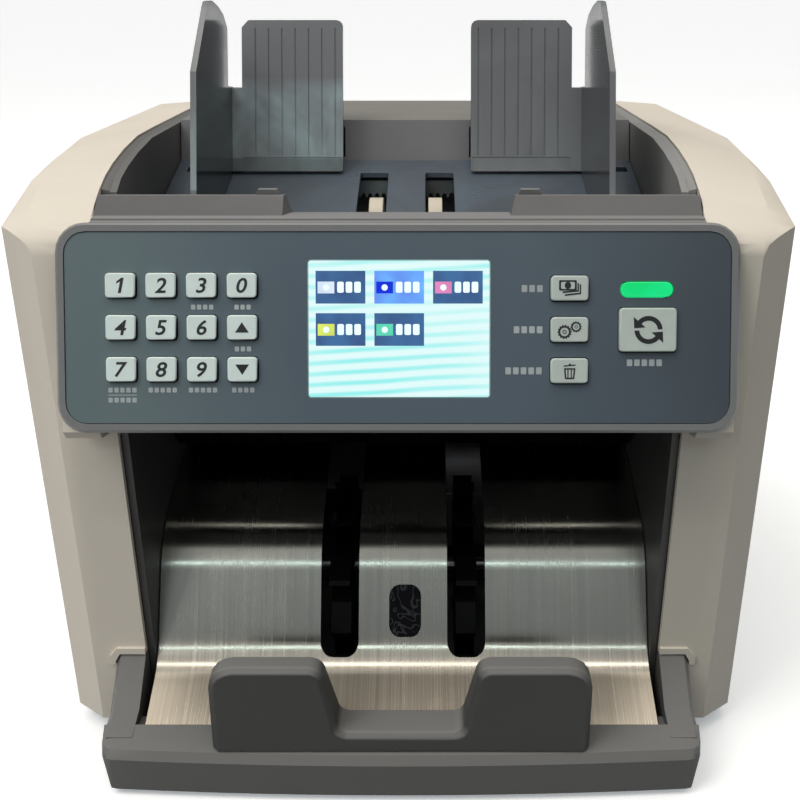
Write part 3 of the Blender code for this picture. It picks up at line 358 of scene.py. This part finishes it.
LOOKS = {
    "cover": moulded("cover_plastic", (0.76, 0.70, 0.61), 0.52, 2200.0, 0.35, 0.015, 0.35),
    # The casing and the bezel are lighter on faces that look up: painted light.
    "casing": casing("grey_plastic", (0.155, 0.155, 0.152), (0.17, 0.17, 0.166)),
    "bezel": moulded(
        "bezel_plastic", (0.175, 0.18, 0.19), 0.4, 2600.0, 0.25, 0.04, 0.45, lit_upper=(0.25, 0.25, 0.245)),
    "overlay": graded("overlay_film", (0.135, 0.185, 0.2), (0.095, 0.13, 0.165), (0.062, 0.08, 0.098), 0.2),
    "guide": tinted("guide_plastic", (0.15, 0.153, 0.162), (0.175, 0.185, 0.2), 0.14, (0.06, 0.063, 0.068)),
    "key": key_plastic("key_plastic", (0.75, 0.87, 0.85)),
    "screen": banded_screen("screen_glass", (0.74, 0.95, 0.94), (0.28, 0.86, 0.84), 1.0),
    "light": lens("light_lens", (0.0, 0.62, 0.16), (0.0, 0.74, 0.25), 0.92, 60.0),
    "steel": brushed("brushed_stainless", (0.6, 0.57, 0.5), 0.22, (1500.0, 7.0, 7.0), 0.04, FLOOR_TOP),
    "black": polished("black_plastic", (0.003, 0.003, 0.004), 0.22, 0.1, 0.12),
    "rubber": moulded("rubber", (0.025, 0.025, 0.026), 0.7, 1500.0, 0.5, 0.2),
    "amber": moulded("roller_rubber", (0.62, 0.56, 0.46), 0.45, 1500.0, 0.4, 0.1),
    "aluminium": brushed("turned_metal", (0.7, 0.7, 0.72), 0.3, (7.0, 900.0, 900.0)),
    # The board keeps a green tint but is darkened so that it reads as the machine's shaded inside: painted
    # shade.
    "board": moulded("board", (0.008, 0.035, 0.018), 0.45, 900.0, 0.3, 0.1),
    "white_plastic": moulded("white_plastic", (0.7, 0.7, 0.66), 0.45, 1500.0, 0.2, 0.03),
}
PRINT_DARK = moulded("dark_print", (0.012, 0.014, 0.018), 0.4, 2600.0, 0.1, 0.1)
PRINT_LIGHT = moulded("light_print", (0.42, 0.46, 0.48), 0.4, 2600.0, 0.1, 0.1)
SMOKED = smoked("smoked_lens")
WIDE_KEY = key_plastic("wide_key_plastic", (0.53, 0.6, 0.57))
NODE_LOOKS = {
    "sensor_window": SMOKED,
    # Base, stop, trim and housing: upright faces take the darker tone and faces that look up the lighter one,
    # painted light and shade.
    "base": casing("base_plastic", (0.105, 0.105, 0.103), (0.195, 0.194, 0.19), tilt=(0.2, 0.6)),
    "note_stop": casing("stop_plastic", (0.042, 0.043, 0.042), (0.22, 0.219, 0.214)),
    "hopper_front_cover": casing(
        "trim_plastic", (0.135, 0.135, 0.136), (0.24, 0.24, 0.246), tilt=(0.78, 0.95)),
    "rear_housing": casing("housing_plastic", (0.2, 0.2, 0.215), (0.235, 0.228, 0.21)),
    "hopper_feed_plate": tinted(
        "feed_plastic", (0.07, 0.086, 0.106), (0.085, 0.112, 0.145), 0.28, (0.05, 0.06, 0.07)),
    # The left guide has its own copy, brighter than the right guide's: painted light, and painted reflection
    # in its pale cold clouds.
    "left_note_guide": tinted(
        "left_guide_plastic", (0.2, 0.21, 0.225), (0.36, 0.46, 0.49), 0.14, (0.03, 0.034, 0.038),
        heights=(0.231, 0.258, 0.266)),
    # The right cover's upright faces are darker than the left cover's: painted shade.
    "right_side_cover": moulded(
        "right_cover_shaded_plastic", (0.58, 0.55, 0.48), 0.52, 2200.0, 0.35, 0.015, 0.35,
        lit_upper=(0.76, 0.7, 0.61), tilt=(0.1, 0.4)),
    # The sensor guides take black plastic so the inside seen through the slots stays dark: painted shade.
    "front_sensor_guide": LOOKS["black"], "rear_sensor_guide": LOOKS["black"],
    # Both frames darken down into the pocket: painted shade.
    "left_side_frame": moulded("frame_plastic", (0.15, 0.15, 0.148), 0.5, 2400.0, 0.4, 0.05, 0.4, pocket_shading=1.0),
    "key_currency": WIDE_KEY, "key_mode": WIDE_KEY, "key_clear": WIDE_KEY, "key_start": WIDE_KEY,
}
# The right frame gets a lighter copy of the frame plastic: painted light.
NODE_LOOKS["right_side_frame"] = moulded(
    "right_frame_lit_plastic", (0.27, 0.27, 0.268), 0.5, 2400.0, 0.4, 0.05, 0.4, pocket_shading=1.0)


# ---------------------------------------------------------------- pieces

def finish_piece(piece, node, look, replace=True):
    """Give a new piece its material and body; it may stand for its CAD node."""
    piece.data.materials.clear()
    piece.data.materials.append(look)
    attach(piece, BODY_OF[node])
    if replace:
        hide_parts(node)


def soften(piece, width, segments=2, angle=30.0):
    """Round the edges of a piece, and shade its faces smoothly up to them."""
    bevel = piece.modifiers.new("edges", "BEVEL")
    bevel.width = width * MM
    bevel.segments = segments
    bevel.limit_method = "ANGLE"
    bevel.angle_limit = math.radians(angle)
    bevel.harden_normals = True
    piece.data.shade_smooth()
    piece.data.set_sharp_from_angle(angle=math.radians(angle))


def face_outwards(mesh):
    """Turn every face of a closed mesh outwards."""
    work = bmesh.new()
    work.from_mesh(mesh)
    bmesh.ops.recalc_face_normals(work, faces=work.faces)
    work.to_mesh(mesh)
    work.free()


def new_object(name, mesh):
    piece = bpy.data.objects.new(name, mesh)
    bpy.context.scene.collection.objects.link(piece)
    return piece


def flattened(mesh, source):
    """Copy a mesh without the seams that lie inside its flat faces."""
    work = bmesh.new()
    work.from_mesh(source)
    bmesh.ops.remove_doubles(work, verts=work.verts, dist=1e-6)
    bmesh.ops.dissolve_limit(work, angle_limit=math.radians(0.6), verts=work.verts, edges=work.edges)
    bmesh.ops.recalc_face_normals(work, faces=work.faces)
    work.to_mesh(mesh)
    work.free()
    return mesh


def refined(node, width, segments, angle=30.0, cutters=()):
    """A copy of a CAD node with merged flats, cut details and softly rounded edges."""
    mesh = flattened(bpy.data.meshes.new(node + "_body"), NODES[node].data)
    piece = new_object(node + "_body", mesh)
    if cutters:
        carve(piece, cutters)
    soften(piece, width, segments, angle)
    finish_piece(piece, node, NODE_LOOKS.get(node) or LOOKS[SLOT_OF[node]])


def carve(piece, cutters):
    """Cut solids out of a piece for good, and remove the solids."""
    for cutter in cutters:
        cut = piece.modifiers.new("cut", "BOOLEAN")
        cut.object = cutter
        cut.solver = "EXACT"
    depsgraph = bpy.context.evaluated_depsgraph_get()
    result = bpy.data.meshes.new_from_object(piece.evaluated_get(depsgraph))
    piece.modifiers.clear()
    name = piece.data.name
    piece.data = flattened(bpy.data.meshes.new(name), result)
    for cutter in cutters:
        bpy.data.objects.remove(cutter, do_unlink=True)


def slab_faces(rings):
    """Faces that skin a stack of rings with equal point counts, and close its two ends."""
    count = len(rings[0])
    faces = [tuple(range(count)), tuple(range(count * len(rings) - count, count * len(rings)))]
    for ring in range(len(rings) - 1):
        first = ring * count
        for i in range(count):
            j = (i + 1) % count
            faces.append((first + i, first + j, first + count + j, first + count + i))
    return faces


def solid(name, rings):
    """Closed mesh over rings of points, each placed by at()."""
    mesh = bpy.data.meshes.new(name)
    mesh.from_pydata([at(*point) for ring in rings for point in ring], [], slab_faces(rings))
    face_outwards(mesh)
    return new_object(name, mesh)


def rounded(width, height, radius, steps, centre=(0.0, 0.0)):
    """Outline of a rectangle with round corners."""
    outline = []
    for sx, sy, start in ((1, 1, 0.0), (-1, 1, 0.5), (-1, -1, 1.0), (1, -1, 1.5)):
        middle = (centre[0] + sx * (width / 2 - radius), centre[1] + sy * (height / 2 - radius))
        for i in range(steps + 1):
            angle = math.pi * (start + 0.5 * i / steps)
            outline.append((middle[0] + radius * math.cos(angle), middle[1] + radius * math.sin(angle)))
    return outline


def bent_path(corners, steps=14):
    """Open path through (depth, height, radius) corners with round bends."""
    path = [corners[0][:2]]
    for before, (y, z, radius), after in zip(corners, corners[1:], corners[2:]):
        here = Vector((y, z))
        back = (Vector(before[:2]) - here).normalized()
        ahead = (Vector(after[:2]) - here).normalized()
        opening = math.acos(max(-1.0, min(1.0, back.dot(ahead))))
        middle = here + (back + ahead).normalized() * radius / math.sin(opening / 2)
        start = here + back * radius / math.tan(opening / 2) - middle
        turn = math.pi - opening
        if back.x * ahead.y - back.y * ahead.x > 0:
            turn = -turn
        for k in range(steps + 1):
            point = Matrix.Rotation(turn * k / steps, 2) @ start + middle
            path.append((point.x, point.y))
    path.append(corners[-1][:2])
    return path


def offset_path(path, distance):
    """The same path, moved sideways along its own normals."""
    shifted = []
    for i, here in enumerate(path):
        before, after = Vector(path[max(0, i - 1)]), Vector(path[min(len(path) - 1, i + 1)])
        along = (after - before).normalized()
        shifted.append((here[0] + along.y * distance, here[1] - along.x * distance))
    return shifted


# ---------------------------------------------------------------- stacker plate

SHEET_CORNERS = [(-33.5, 23.2, 0), (-6.2, 35.6, 27.4), (20.0, 82.6, 38.6), (80.0, 101.0, 0)]
SHEET_THICKNESS = 1.2
SHEET_HALF = 105.6
# Openings: width, height and corner radius, the middle in the front view, and the depths to cut between.
SLOT = (16.5, 82.6, 5.2)
SLOT_MIDDLE = (27.4, 78.7)
SLOT_DEPTHS = (-30, 95)
WINDOW = (13.8, 19.6, 4.6)
WINDOW_MIDDLE = (0.9, 54.0)
WINDOW_DEPTHS = (-20, 24)


def opening(name, size, middle, depths):
    """A solid that cuts a rounded opening straight through the sheet."""
    shape = rounded(*size, 6, middle)
    return solid(name, [[(x, y, z) for x, z in shape] for y in depths])


def make_sheet():
    """Bent stainless floor of the pocket, with its two slots and the sensor's hole."""
    path = bent_path(SHEET_CORNERS)
    outline = path + offset_path(path, SHEET_THICKNESS)[::-1]
    rings = [[(x, y, z) for y, z in outline] for x in (-SHEET_HALF, SHEET_HALF)]
    sheet = solid("stacker_plate_sheet", rings)
    cutters = []
    for side in (-1, 1):
        cutters.append(opening(f"slot_{side}", SLOT, (side * SLOT_MIDDLE[0], SLOT_MIDDLE[1]), SLOT_DEPTHS))
    cutters.append(opening("window_hole", WINDOW, WINDOW_MIDDLE, WINDOW_DEPTHS))
    carve(sheet, cutters)
    soften(sheet, 0.22, 2, 40.0)
    finish_piece(sheet, "stacker_plate", LOOKS["steel"])


# ---------------------------------------------------------------- note guides

HOPPER_MIDDLE = 1.2
# A guide's rest leans back as it rises from its foot. Grooves run up it, above one band across it;
# sideways places are measured from the hopper's middle.
REST_FOOT = (100.6, 224.0)
REST_LEAN = 0.368
REST_GROOVES = 7
GROOVE_FIRST = 32.6
GROOVE_PITCH = 6.06
GROOVE_HALF = 0.28
GROOVE_HEIGHTS = (232.6, 286.5)
GROOVE_DEPTH = 0.45
BAND_SIDES = (29.9, 74.6)
BAND_HEIGHTS = (226.9, 232.0)
BAND_DEPTH = 0.3


def rest_depth(z):
    """Depth of the front of a guide's leaning rest at a height."""
    return REST_FOOT[0] + REST_LEAN * (z - REST_FOOT[1])


def rest_cutter(name, side, near, far, low, high, deep):
    """A shallow cut in the front of a guide's leaning rest."""
    rings = []
    for depth in (-1.0, deep):
        corners = [(near, low), (far, low), (far, high), (near, high)]
        rings.append([(HOPPER_MIDDLE + side * x, rest_depth(z) + depth, z) for x, z in corners])
    return solid(name, rings)


def make_guide(node, side):
    """A note guide with shallow grooves and a band in its rest."""
    cutters = []
    for k in range(REST_GROOVES):
        x = GROOVE_FIRST + k * GROOVE_PITCH
        near, far = x - GROOVE_HALF, x + GROOVE_HALF
        cutters.append(rest_cutter(f"groove_{side}_{k}", side, near, far, *GROOVE_HEIGHTS, GROOVE_DEPTH))
    cutters.append(rest_cutter(f"band_{side}", side, *BAND_SIDES, *BAND_HEIGHTS, BAND_DEPTH))
    refined(node, 0.45, 3, 28.0, cutters)


# ---------------------------------------------------------------- marks on keys and panel

def mark(name, node, shapes, centre, look, level=KEY_FACE, height=0.07):
    """Printed mark: thin solids, each over an outline or an [outer, inner] pair of loops."""
    points, faces = [], []
    matrix = panel_matrix()
    for shape in shapes:
        loops = shape if isinstance(shape[0], list) else [shape]
        count = len(loops[0])
        first = len(points)
        for z in (level - height, level + height):
            for loop in loops:
                points += [matrix @ Vector((centre[0] + x, centre[1] + y, z)) for x, y in loop]
        size = count * len(loops)
        for i in range(count):
            j = (i + 1) % count
            faces.append((first + i, first + j, first + size + j, first + size + i))
            if len(loops) == 2:
                a, b = first + count + i, first + count + j
                faces.append((a, b, size + b, size + a))
                faces.append((first + i, first + j, b, a))
                faces.append((first + size + i, first + size + j, size + b, size + a))
        if len(loops) == 1:
            faces.append(tuple(range(first, first + count)))
            faces.append(tuple(range(first + size, first + size + count)))
    mesh = bpy.data.meshes.new(name)
    mesh.from_pydata(points, [], faces)
    face_outwards(mesh)
    finish_piece(new_object(name, mesh), node, look, replace=False)


def oval(x, y, wide, high, count=28):
    angles = [2 * math.pi * i / count for i in range(count)]
    return [(x + wide * math.cos(angle), y + high * math.sin(angle)) for angle in angles]


def rectangle(x0, y0, x1, y1):
    return [(x0, y0), (x1, y0), (x1, y1), (x0, y1)]


def arc_band(radius, width, start, end, steps=14):
    """Outline of a bent stroke between two angles in degrees."""
    angles = [math.radians(start + (end - start) * i / steps) for i in range(steps + 1)]
    outer = [((radius + width / 2) * math.cos(a), (radius + width / 2) * math.sin(a)) for a in angles]
    inner = [((radius - width / 2) * math.cos(a), (radius - width / 2) * math.sin(a)) for a in angles]
    return outer + inner[::-1]


def slanted_one():
    """Outline of the digit one, with its flag, slanted like the other digits."""
    upright = [(-0.1, -2.7), (0.95, -2.7), (0.95, 2.7), (0.1, 2.7), (-1.35, 1.5), (-1.35, 0.6), (-0.1, 1.4)]
    return [(x + 0.2 * y, y) for x, y in upright]


def gear(x, y, radius, teeth):
    """A toothed ring as an [outer, inner] pair of loops."""
    outer, inner = [], []
    for i in range(teeth * 4):
        angle = 2 * math.pi * i / (teeth * 4)
        reach = radius * (1.0 if i % 4 in (0, 1) else 0.86)
        outer.append((x + reach * math.cos(angle), y + reach * math.sin(angle)))
        inner.append((x + 0.6 * radius * math.cos(angle), y + 0.6 * radius * math.sin(angle)))
    return [outer, inner]


DIGIT_HEIGHT = 5.4
DIGIT_WIDENING = 1.08
DIGIT_THICKENING = 7.0


def digit(text, node, centre):
    """A number in slanted bold strokes, printed on a key."""
    curve = bpy.data.curves.new("digit_curve_" + text, "FONT")
    curve.body = text
    curve.size = 1.0
    curve.shear = 0.2
    curve.offset = 0.016
    curve.extrude = 0.01
    curve.resolution_u = 4
    holder = new_object("digit_holder_" + text, curve)
    depsgraph = bpy.context.evaluated_depsgraph_get()
    mesh = bpy.data.meshes.new_from_object(holder.evaluated_get(depsgraph))
    bpy.data.objects.remove(holder, do_unlink=True)
    low = [min(v.co[k] for v in mesh.vertices) for k in range(3)]
    high = [max(v.co[k] for v in mesh.vertices) for k in range(3)]
    scale = DIGIT_HEIGHT / (high[1] - low[1])
    middle = Vector([(low[k] + high[k]) / 2 for k in range(3)])
    matrix = panel_matrix() @ Matrix.Translation((*centre, KEY_FACE))
    flat = Matrix.Diagonal((DIGIT_WIDENING * scale, scale, DIGIT_THICKENING, 1.0))
    mesh.transform(matrix @ flat @ Matrix.Translation(-middle))
    mesh.name = "digit_" + text
    finish_piece(new_object("digit_" + text, mesh), node, PRINT_DARK, replace=False)


def dashes(name, centre, count, pitch=2.15, size=(1.55, 1.75)):
    """A row of small light blocks where a label would be printed."""
    shapes = []
    for k in range(count):
        x = (k - (count - 1) / 2) * pitch
        shapes.append(rounded(*size, 0.3, 2, (x, 0.0)))
    mark(name, "panel_overlay", shapes, centre, PRINT_LIGHT, LABEL_LEVEL, 0.05)


# Places on the panel, to the right of and above its middle.
KEY_FIRST = (-98.8, 15.1)
KEY_PITCH = (14.45, 14.95)
KEY_ROWS = [["1", "2", "3", "0"], ["4", "5", "6", "up"], ["7", "8", "9", "down"]]
SIDE_KEY_X = 61.4
SIDE_KEY_ROWS = (14.1, -0.6, -15.3)
START_KEY = (89.4, -0.7)


def make_number_marks():
    """Digits and two arrows on the keys of the number pad."""
    for row, line in enumerate(KEY_ROWS):
        for column, text in enumerate(line):
            centre = (KEY_FIRST[0] + column * KEY_PITCH[0], KEY_FIRST[1] - row * KEY_PITCH[1])
            if text in ("up", "down"):
                flip = 1 if text == "up" else -1
                shape = [(-2.45, -1.8 * flip), (2.45, -1.8 * flip), (0.0, 1.9 * flip)]
                mark("arrow_" + text, "key_" + text, [shape], centre, PRINT_DARK)
            elif text == "1":
                mark("digit_1", "key_1", [slanted_one()], centre, PRINT_DARK)
            else:
                digit(text, "key_" + text, (centre[0] + 0.1, centre[1]))


def make_symbols():
    """Two notes, two gears, a bin and two turning arrows on the function keys."""
    notes = [
        [rounded(6.3, 3.7, 0.35, 2, (-0.8, 1.0)), rounded(4.9, 2.5, 0.35, 2, (-0.8, 1.0))],
        oval(-0.8, 1.0, 1.15, 1.25),
        [(-2.7, -1.75), (3.1, -1.2), (3.1, 1.8), (2.6, 1.8), (2.6, -0.65), (-2.7, -1.15)],
        [(-1.9, -2.75), (3.9, -2.1), (3.9, 1.4), (3.4, 1.4), (3.4, -1.55), (-1.9, -2.15)],
    ]
    mark("notes_symbol", "key_currency", notes, (SIDE_KEY_X, SIDE_KEY_ROWS[0]), PRINT_DARK)
    wheels = [gear(-1.9, -0.8, 2.55, 14), gear(2.2, 1.0, 2.0, 12)]
    hubs = ((-1.9, -0.8, 0.75), (2.2, 1.0, 0.6))
    wheels += [[oval(x, y, r, r), oval(x, y, 0.6 * r, 0.6 * r)] for x, y, r in hubs]
    mark("gears_symbol", "key_mode", wheels, (SIDE_KEY_X, SIDE_KEY_ROWS[1]), PRINT_DARK)
    bin_lid = [
        (-2.15, 1.5), (2.1, 1.9), (2.1, 2.35), (0.4, 2.2), (0.4, 2.6), (-0.35, 2.55), (-0.35, 2.1),
        (-2.15, 1.95),
    ]
    bin_shapes = [
        bin_lid,
        [(-2.0, 1.0), (2.0, 1.0), (2.0, 0.45), (-2.0, 0.45)],
        [(-2.0, 0.45), (-1.45, 0.45), (-1.15, -2.4), (-1.7, -2.4)],
        [(2.0, 0.45), (1.45, 0.45), (1.15, -2.4), (1.7, -2.4)],
        [(-1.7, -2.4), (1.7, -2.4), (1.5, -2.95), (-1.5, -2.95)],
        rectangle(-0.8, -2.4, -0.4, 0.45), rectangle(0.4, -2.4, 0.8, 0.45),
    ]
    mark("bin_symbol", "key_clear", bin_shapes, (SIDE_KEY_X, SIDE_KEY_ROWS[2]), PRINT_DARK)
    turn = [arc_band(4.15, 1.7, 3, 140), arc_band(4.15, 1.7, 183, 320)]
    turn += [[(-5.3, 4.6), (-5.1, 0.6), (-1.1, 0.9)], [(5.3, -4.6), (5.1, -0.6), (1.1, -0.9)]]
    mark("turn_symbol", "key_start", turn, START_KEY, PRINT_DARK)


def make_labels():
    """Rows of blocks below the number keys, beside the side keys and below the start key."""
    columns = [KEY_FIRST[0] + i * KEY_PITCH[0] for i in range(4)]
    rows = [KEY_FIRST[1] - i * KEY_PITCH[1] for i in range(3)]
    below = 7.6
    places = [
        (columns[2], rows[0] - below, 4), (columns[3], rows[0] - below, 3), (columns[3], rows[1] - below, 3),
        (columns[0], rows[2] - below + 0.2, 5), (columns[1], rows[2] - below + 0.2, 5),
        (columns[2], rows[2] - below + 0.2, 5), (columns[3], rows[2] - below + 0.2, 4),
        (columns[0], rows[2] - below - 3.4, 5),
    ]
    for index, (x, y, count) in enumerate(places):
        dashes(f"key_label_{index}", (x, y), count)
    bar = [rectangle(-5.2, -0.14, 5.2, 0.14)]
    mark("key_label_bar", "panel_overlay", bar, (columns[0], rows[2] - below - 1.6), PRINT_LIGHT,
         LABEL_LEVEL, 0.05)
    for index, (right, y, count) in enumerate(zip((52.2, 52.2, 52.0), SIDE_KEY_ROWS, (3, 4, 5))):
        dashes(f"side_label_{index}", (right - 1.38 * count, y), count, 2.75, (2.0, 2.5))
    dashes("start_label", (88.4, -12.4), 5, 2.65, (1.95, 2.4))


def tile_look(name, colour, edge):
    """A patch of the lit display in one colour."""
    return lens(name, colour, edge, 1.0, 90.0)


TILE_FIRST = (-20.45, 14.6)
TILE_PITCH = (21.0, 15.1)
TILE_HALF = (8.9, 5.85)
TILE_CELLS = ((0, 0), (1, 0), (2, 0), (0, 1), (1, 1))
PICKED_TILE = 1


def make_tiles():
    """Five plain tiles on the display, each with a small note picture and three blocks."""
    blue = tile_look("tile_blue", (0.035, 0.085, 0.21), (0.04, 0.13, 0.3))
    picked = tile_look("tile_picked", (0.11, 0.25, 0.75), (0.14, 0.45, 0.93))
    pale = tile_look("tile_pale", (0.78, 0.93, 0.96), (0.66, 0.9, 0.97))
    tints = [(0.62, 0.72, 0.86), (0.0, 0.02, 0.62), (0.66, 0.22, 0.46), (0.62, 0.72, 0.12), (0.1, 0.62, 0.42)]
    for index, (tint, (column, row)) in enumerate(zip(tints, TILE_CELLS)):
        centre = (TILE_FIRST[0] + TILE_PITCH[0] * column, TILE_FIRST[1] - TILE_PITCH[1] * row)
        back = rectangle(-TILE_HALF[0], -TILE_HALF[1], *TILE_HALF)
        back_look = picked if index == PICKED_TILE else blue
        note_look = tile_look(f"tile_note_{index}", tint, shade(tint, 0.8))
        blocks = [rounded(2.35, 3.9, 0.5, 2, (x, 0.0)) for x in (0.0, 3.05, 6.1)]
        layers = [
            ("tile", [back], back_look, 0.0, 0.05),
            ("tile_note", [rectangle(-8.2, -2.2, -2.2, 2.0)], note_look, 0.06, 0.03),
            ("tile_coin", [oval(-5.2, -0.1, 1.1, 1.1)], pale, 0.1, 0.02),
            ("tile_blocks", blocks, pale, 0.06, 0.03),
        ]
        for name, shapes, look, rise, height in layers:
            mark(f"{name}_{index}", "display_screen", shapes, centre, look, TILE_LEVEL + rise, height)


# ---------------------------------------------------------------- all pieces

# Width and segments of each node's rounded edges; the rest take OTHER_ROUNDING.
ROUNDING = {
    "left_side_cover": (0.9, 3), "right_side_cover": (0.9, 3), "base": (0.8, 3), "note_stop": (0.7, 3),
    "hopper_front_cover": (0.5, 3), "rear_housing": (0.8, 3), "panel_bezel": (0.5, 3),
    "hopper_feed_plate": (0.5, 3), "panel_overlay": (0.12, 2), "display_screen": (0.1, 2),
    "sensor_window": (0.3, 2), "status_light": (0.5, 4), "left_side_frame": (0.6, 3),
    "right_side_frame": (0.6, 3), "guide_pinion": (0.2, 2), "power_switch": (0.8, 3), "rear_door": (0.5, 3),
    "motor_pulley": (0.2, 2), "feed_pulley": (0.2, 2), "pickup_pulley": (0.2, 2), "stacker_pulley": (0.2, 2),
    "pickup_roller": (0.3, 3), "feed_shaft": (0.3, 2), "stacker_shaft": (0.3, 2), "main_board": (0.2, 2),
    "keypad_board": (0.2, 2), "power_inlet": (0.4, 3),
}
KEY_ROUNDING = (0.3, 3)
OTHER_ROUNDING = (0.4, 2)


def make_pieces():
    """Every visible piece: a finished copy or a remade one for each CAD node, and the marks."""
    for name in NODES:
        if name == "stacker_plate":
            make_sheet()
        elif name == "left_note_guide":
            make_guide(name, -1)
        elif name == "right_note_guide":
            make_guide(name, 1)
        elif name.startswith("key_"):
            refined(name, *KEY_ROUNDING)
        else:
            refined(name, *ROUNDING.get(name, OTHER_ROUNDING))
    make_number_marks()
    make_symbols()
    make_labels()
    make_tiles()


make_pieces()


# ---------------------------------------------------------------- stage, light and camera

# In this section lengths are in metres, but for the camera's place.
TABLE_REACH = 24.0


def make_stage():
    """A wide pale table, softly lit from within so that it stays close to white."""
    mesh = bpy.data.meshes.new("table")
    corners = [(x * TABLE_REACH, y * TABLE_REACH, 0.0) for x, y in rectangle(-1, -1, 1, 1)]
    mesh.from_pydata(corners, [], [(0, 1, 2, 3)])
    table = new_object("table", mesh)
    look = Nodes("table_top", (1.0, 1.0, 1.0), 0.7)
    look.to("Roughness", look.span(look.noise(3.0), 0.3, 0.7, 0.65, 0.75))
    look.shader.inputs["Specular IOR Level"].default_value = 0.1
    look.shader.inputs["Emission Color"].default_value = (0.9, 0.95, 1.0, 1.0)
    look.shader.inputs["Emission Strength"].default_value = 0.27
    mesh.materials.append(look.material)
    table.visible_diffuse = False
    make_backdrop(TABLE_REACH)


def make_backdrop(reach):
    """A pale round wall far behind the table; it neither lights nor shades the machine."""
    count = 48
    points = []
    for z in (0.0, reach):
        for i in range(count):
            angle = 2.0 * math.pi * i / count
            points.append((reach * math.cos(angle), reach * math.sin(angle), z))
    faces = [(i, (i + 1) % count, (i + 1) % count + count, i + count) for i in range(count)]
    mesh = bpy.data.meshes.new("backdrop")
    mesh.from_pydata(points, [], faces)
    wall = new_object("backdrop", mesh)
    look = Nodes("backdrop_cloth", (0.02, 0.02, 0.02), 0.9)
    tone = look.noise(0.4, 2.0)
    look.to("Emission Color", look.mix(tone, (1.0, 1.0, 1.0), (0.98, 0.99, 1.0)))
    look.shader.inputs["Emission Strength"].default_value = 1.0
    mesh.materials.append(look.material)
    for ray in ("visible_diffuse", "visible_glossy", "visible_transmission", "visible_shadow"):
        setattr(wall, ray, False)


def make_world():
    """A soft room: bright overhead, dim towards the sides and below."""
    world = bpy.data.worlds.new("room")
    world.use_nodes = True
    tree = world.node_tree
    place = tree.nodes.new("ShaderNodeTexCoord").outputs["Generated"]
    height = tree.nodes.new("ShaderNodeSeparateXYZ")
    tree.links.new(place, height.inputs[0])
    ramp = tree.nodes.new("ShaderNodeValToRGB")
    tree.links.new(height.outputs["Z"], ramp.inputs[0])
    stops = [
        (0.0, (0.15, 0.15, 0.15)), (0.02, (0.26, 0.27, 0.285)), (0.45, (0.35, 0.36, 0.37)),
        (0.7, (0.56, 0.56, 0.55)), (1.0, (0.95, 0.92, 0.88)),
    ]
    bar = ramp.color_ramp
    while len(bar.elements) < len(stops):
        bar.elements.new(0.5)
    for element, (position, colour) in zip(bar.elements, stops):
        element.position = position
        element.color = (*colour, 1.0)
    tree.links.new(ramp.outputs["Color"], tree.nodes["Background"].inputs["Color"])
    tree.nodes["Background"].inputs["Strength"].default_value = 0.8
    bpy.context.scene.world = world


def soft_box(name, place, width, height, radiance, colour):
    """A rectangular studio light that faces the machine's middle."""
    data = bpy.data.lights.new(name, "AREA")
    data.shape = "RECTANGLE"
    data.size = width
    data.size_y = height
    data.energy = radiance * math.pi * width * height
    data.color = colour
    lamp = bpy.data.objects.new(name, data)
    lamp.location = place
    aim = Vector((0.0, 0.0, 0.1)) - lamp.location
    lamp.rotation_euler = aim.to_track_quat("-Z", "Y").to_euler()
    bpy.context.scene.collection.objects.link(lamp)


def make_light():
    """Four soft boxes and a broad sun, which the glossy parts don't mirror."""
    soft_box("overhead", (0.0, 0.15, 2.1), 1.6, 1.3, 1.55, (1.0, 0.93, 0.83))
    soft_box("front_strip", (-0.15, -2.05, 1.5), 2.2, 0.06, 6.0, (0.8, 1.0, 0.97))
    soft_box("high_strip", (0.0, -1.15, 2.32), 2.2, 0.14, 5.0, (1.0, 0.93, 0.82))
    soft_box("left_fill", (-0.85, -0.8, 0.65), 0.5, 0.6, 1.9, (1.0, 0.97, 0.92))
    data = bpy.data.lights.new("ceiling", "SUN")
    data.energy = 0.95
    data.angle = math.radians(30.0)
    data.color = (1.0, 0.97, 0.93)
    lamp = bpy.data.objects.new("ceiling", data)
    lamp.rotation_euler = Vector((0.62, 0.28, -1.0)).to_track_quat("-Z", "Y").to_euler()
    lamp.visible_glossy = False
    bpy.context.scene.collection.objects.link(lamp)


CAMERA_PLACE = (11.0, -361.4, 305.2)
CAMERA_DIP = 22.6


def make_camera():
    """The camera looks at the machine from the front, dipped by a few degrees."""
    data = bpy.data.cameras.new("camera")
    data.lens = 45.0
    data.sensor_width = 36.0
    data.shift_x = -0.0355
    data.clip_start = 0.01
    camera = bpy.data.objects.new("camera", data)
    camera.location = at(*CAMERA_PLACE)
    camera.rotation_euler = (math.radians(90.0 - CAMERA_DIP), 0.0, 0.0)
    bpy.context.scene.collection.objects.link(camera)
    bpy.context.scene.camera = camera


make_stage()
make_world()
make_light()
make_camera()
bpy.context.scene.view_settings.view_transform = "Standard"
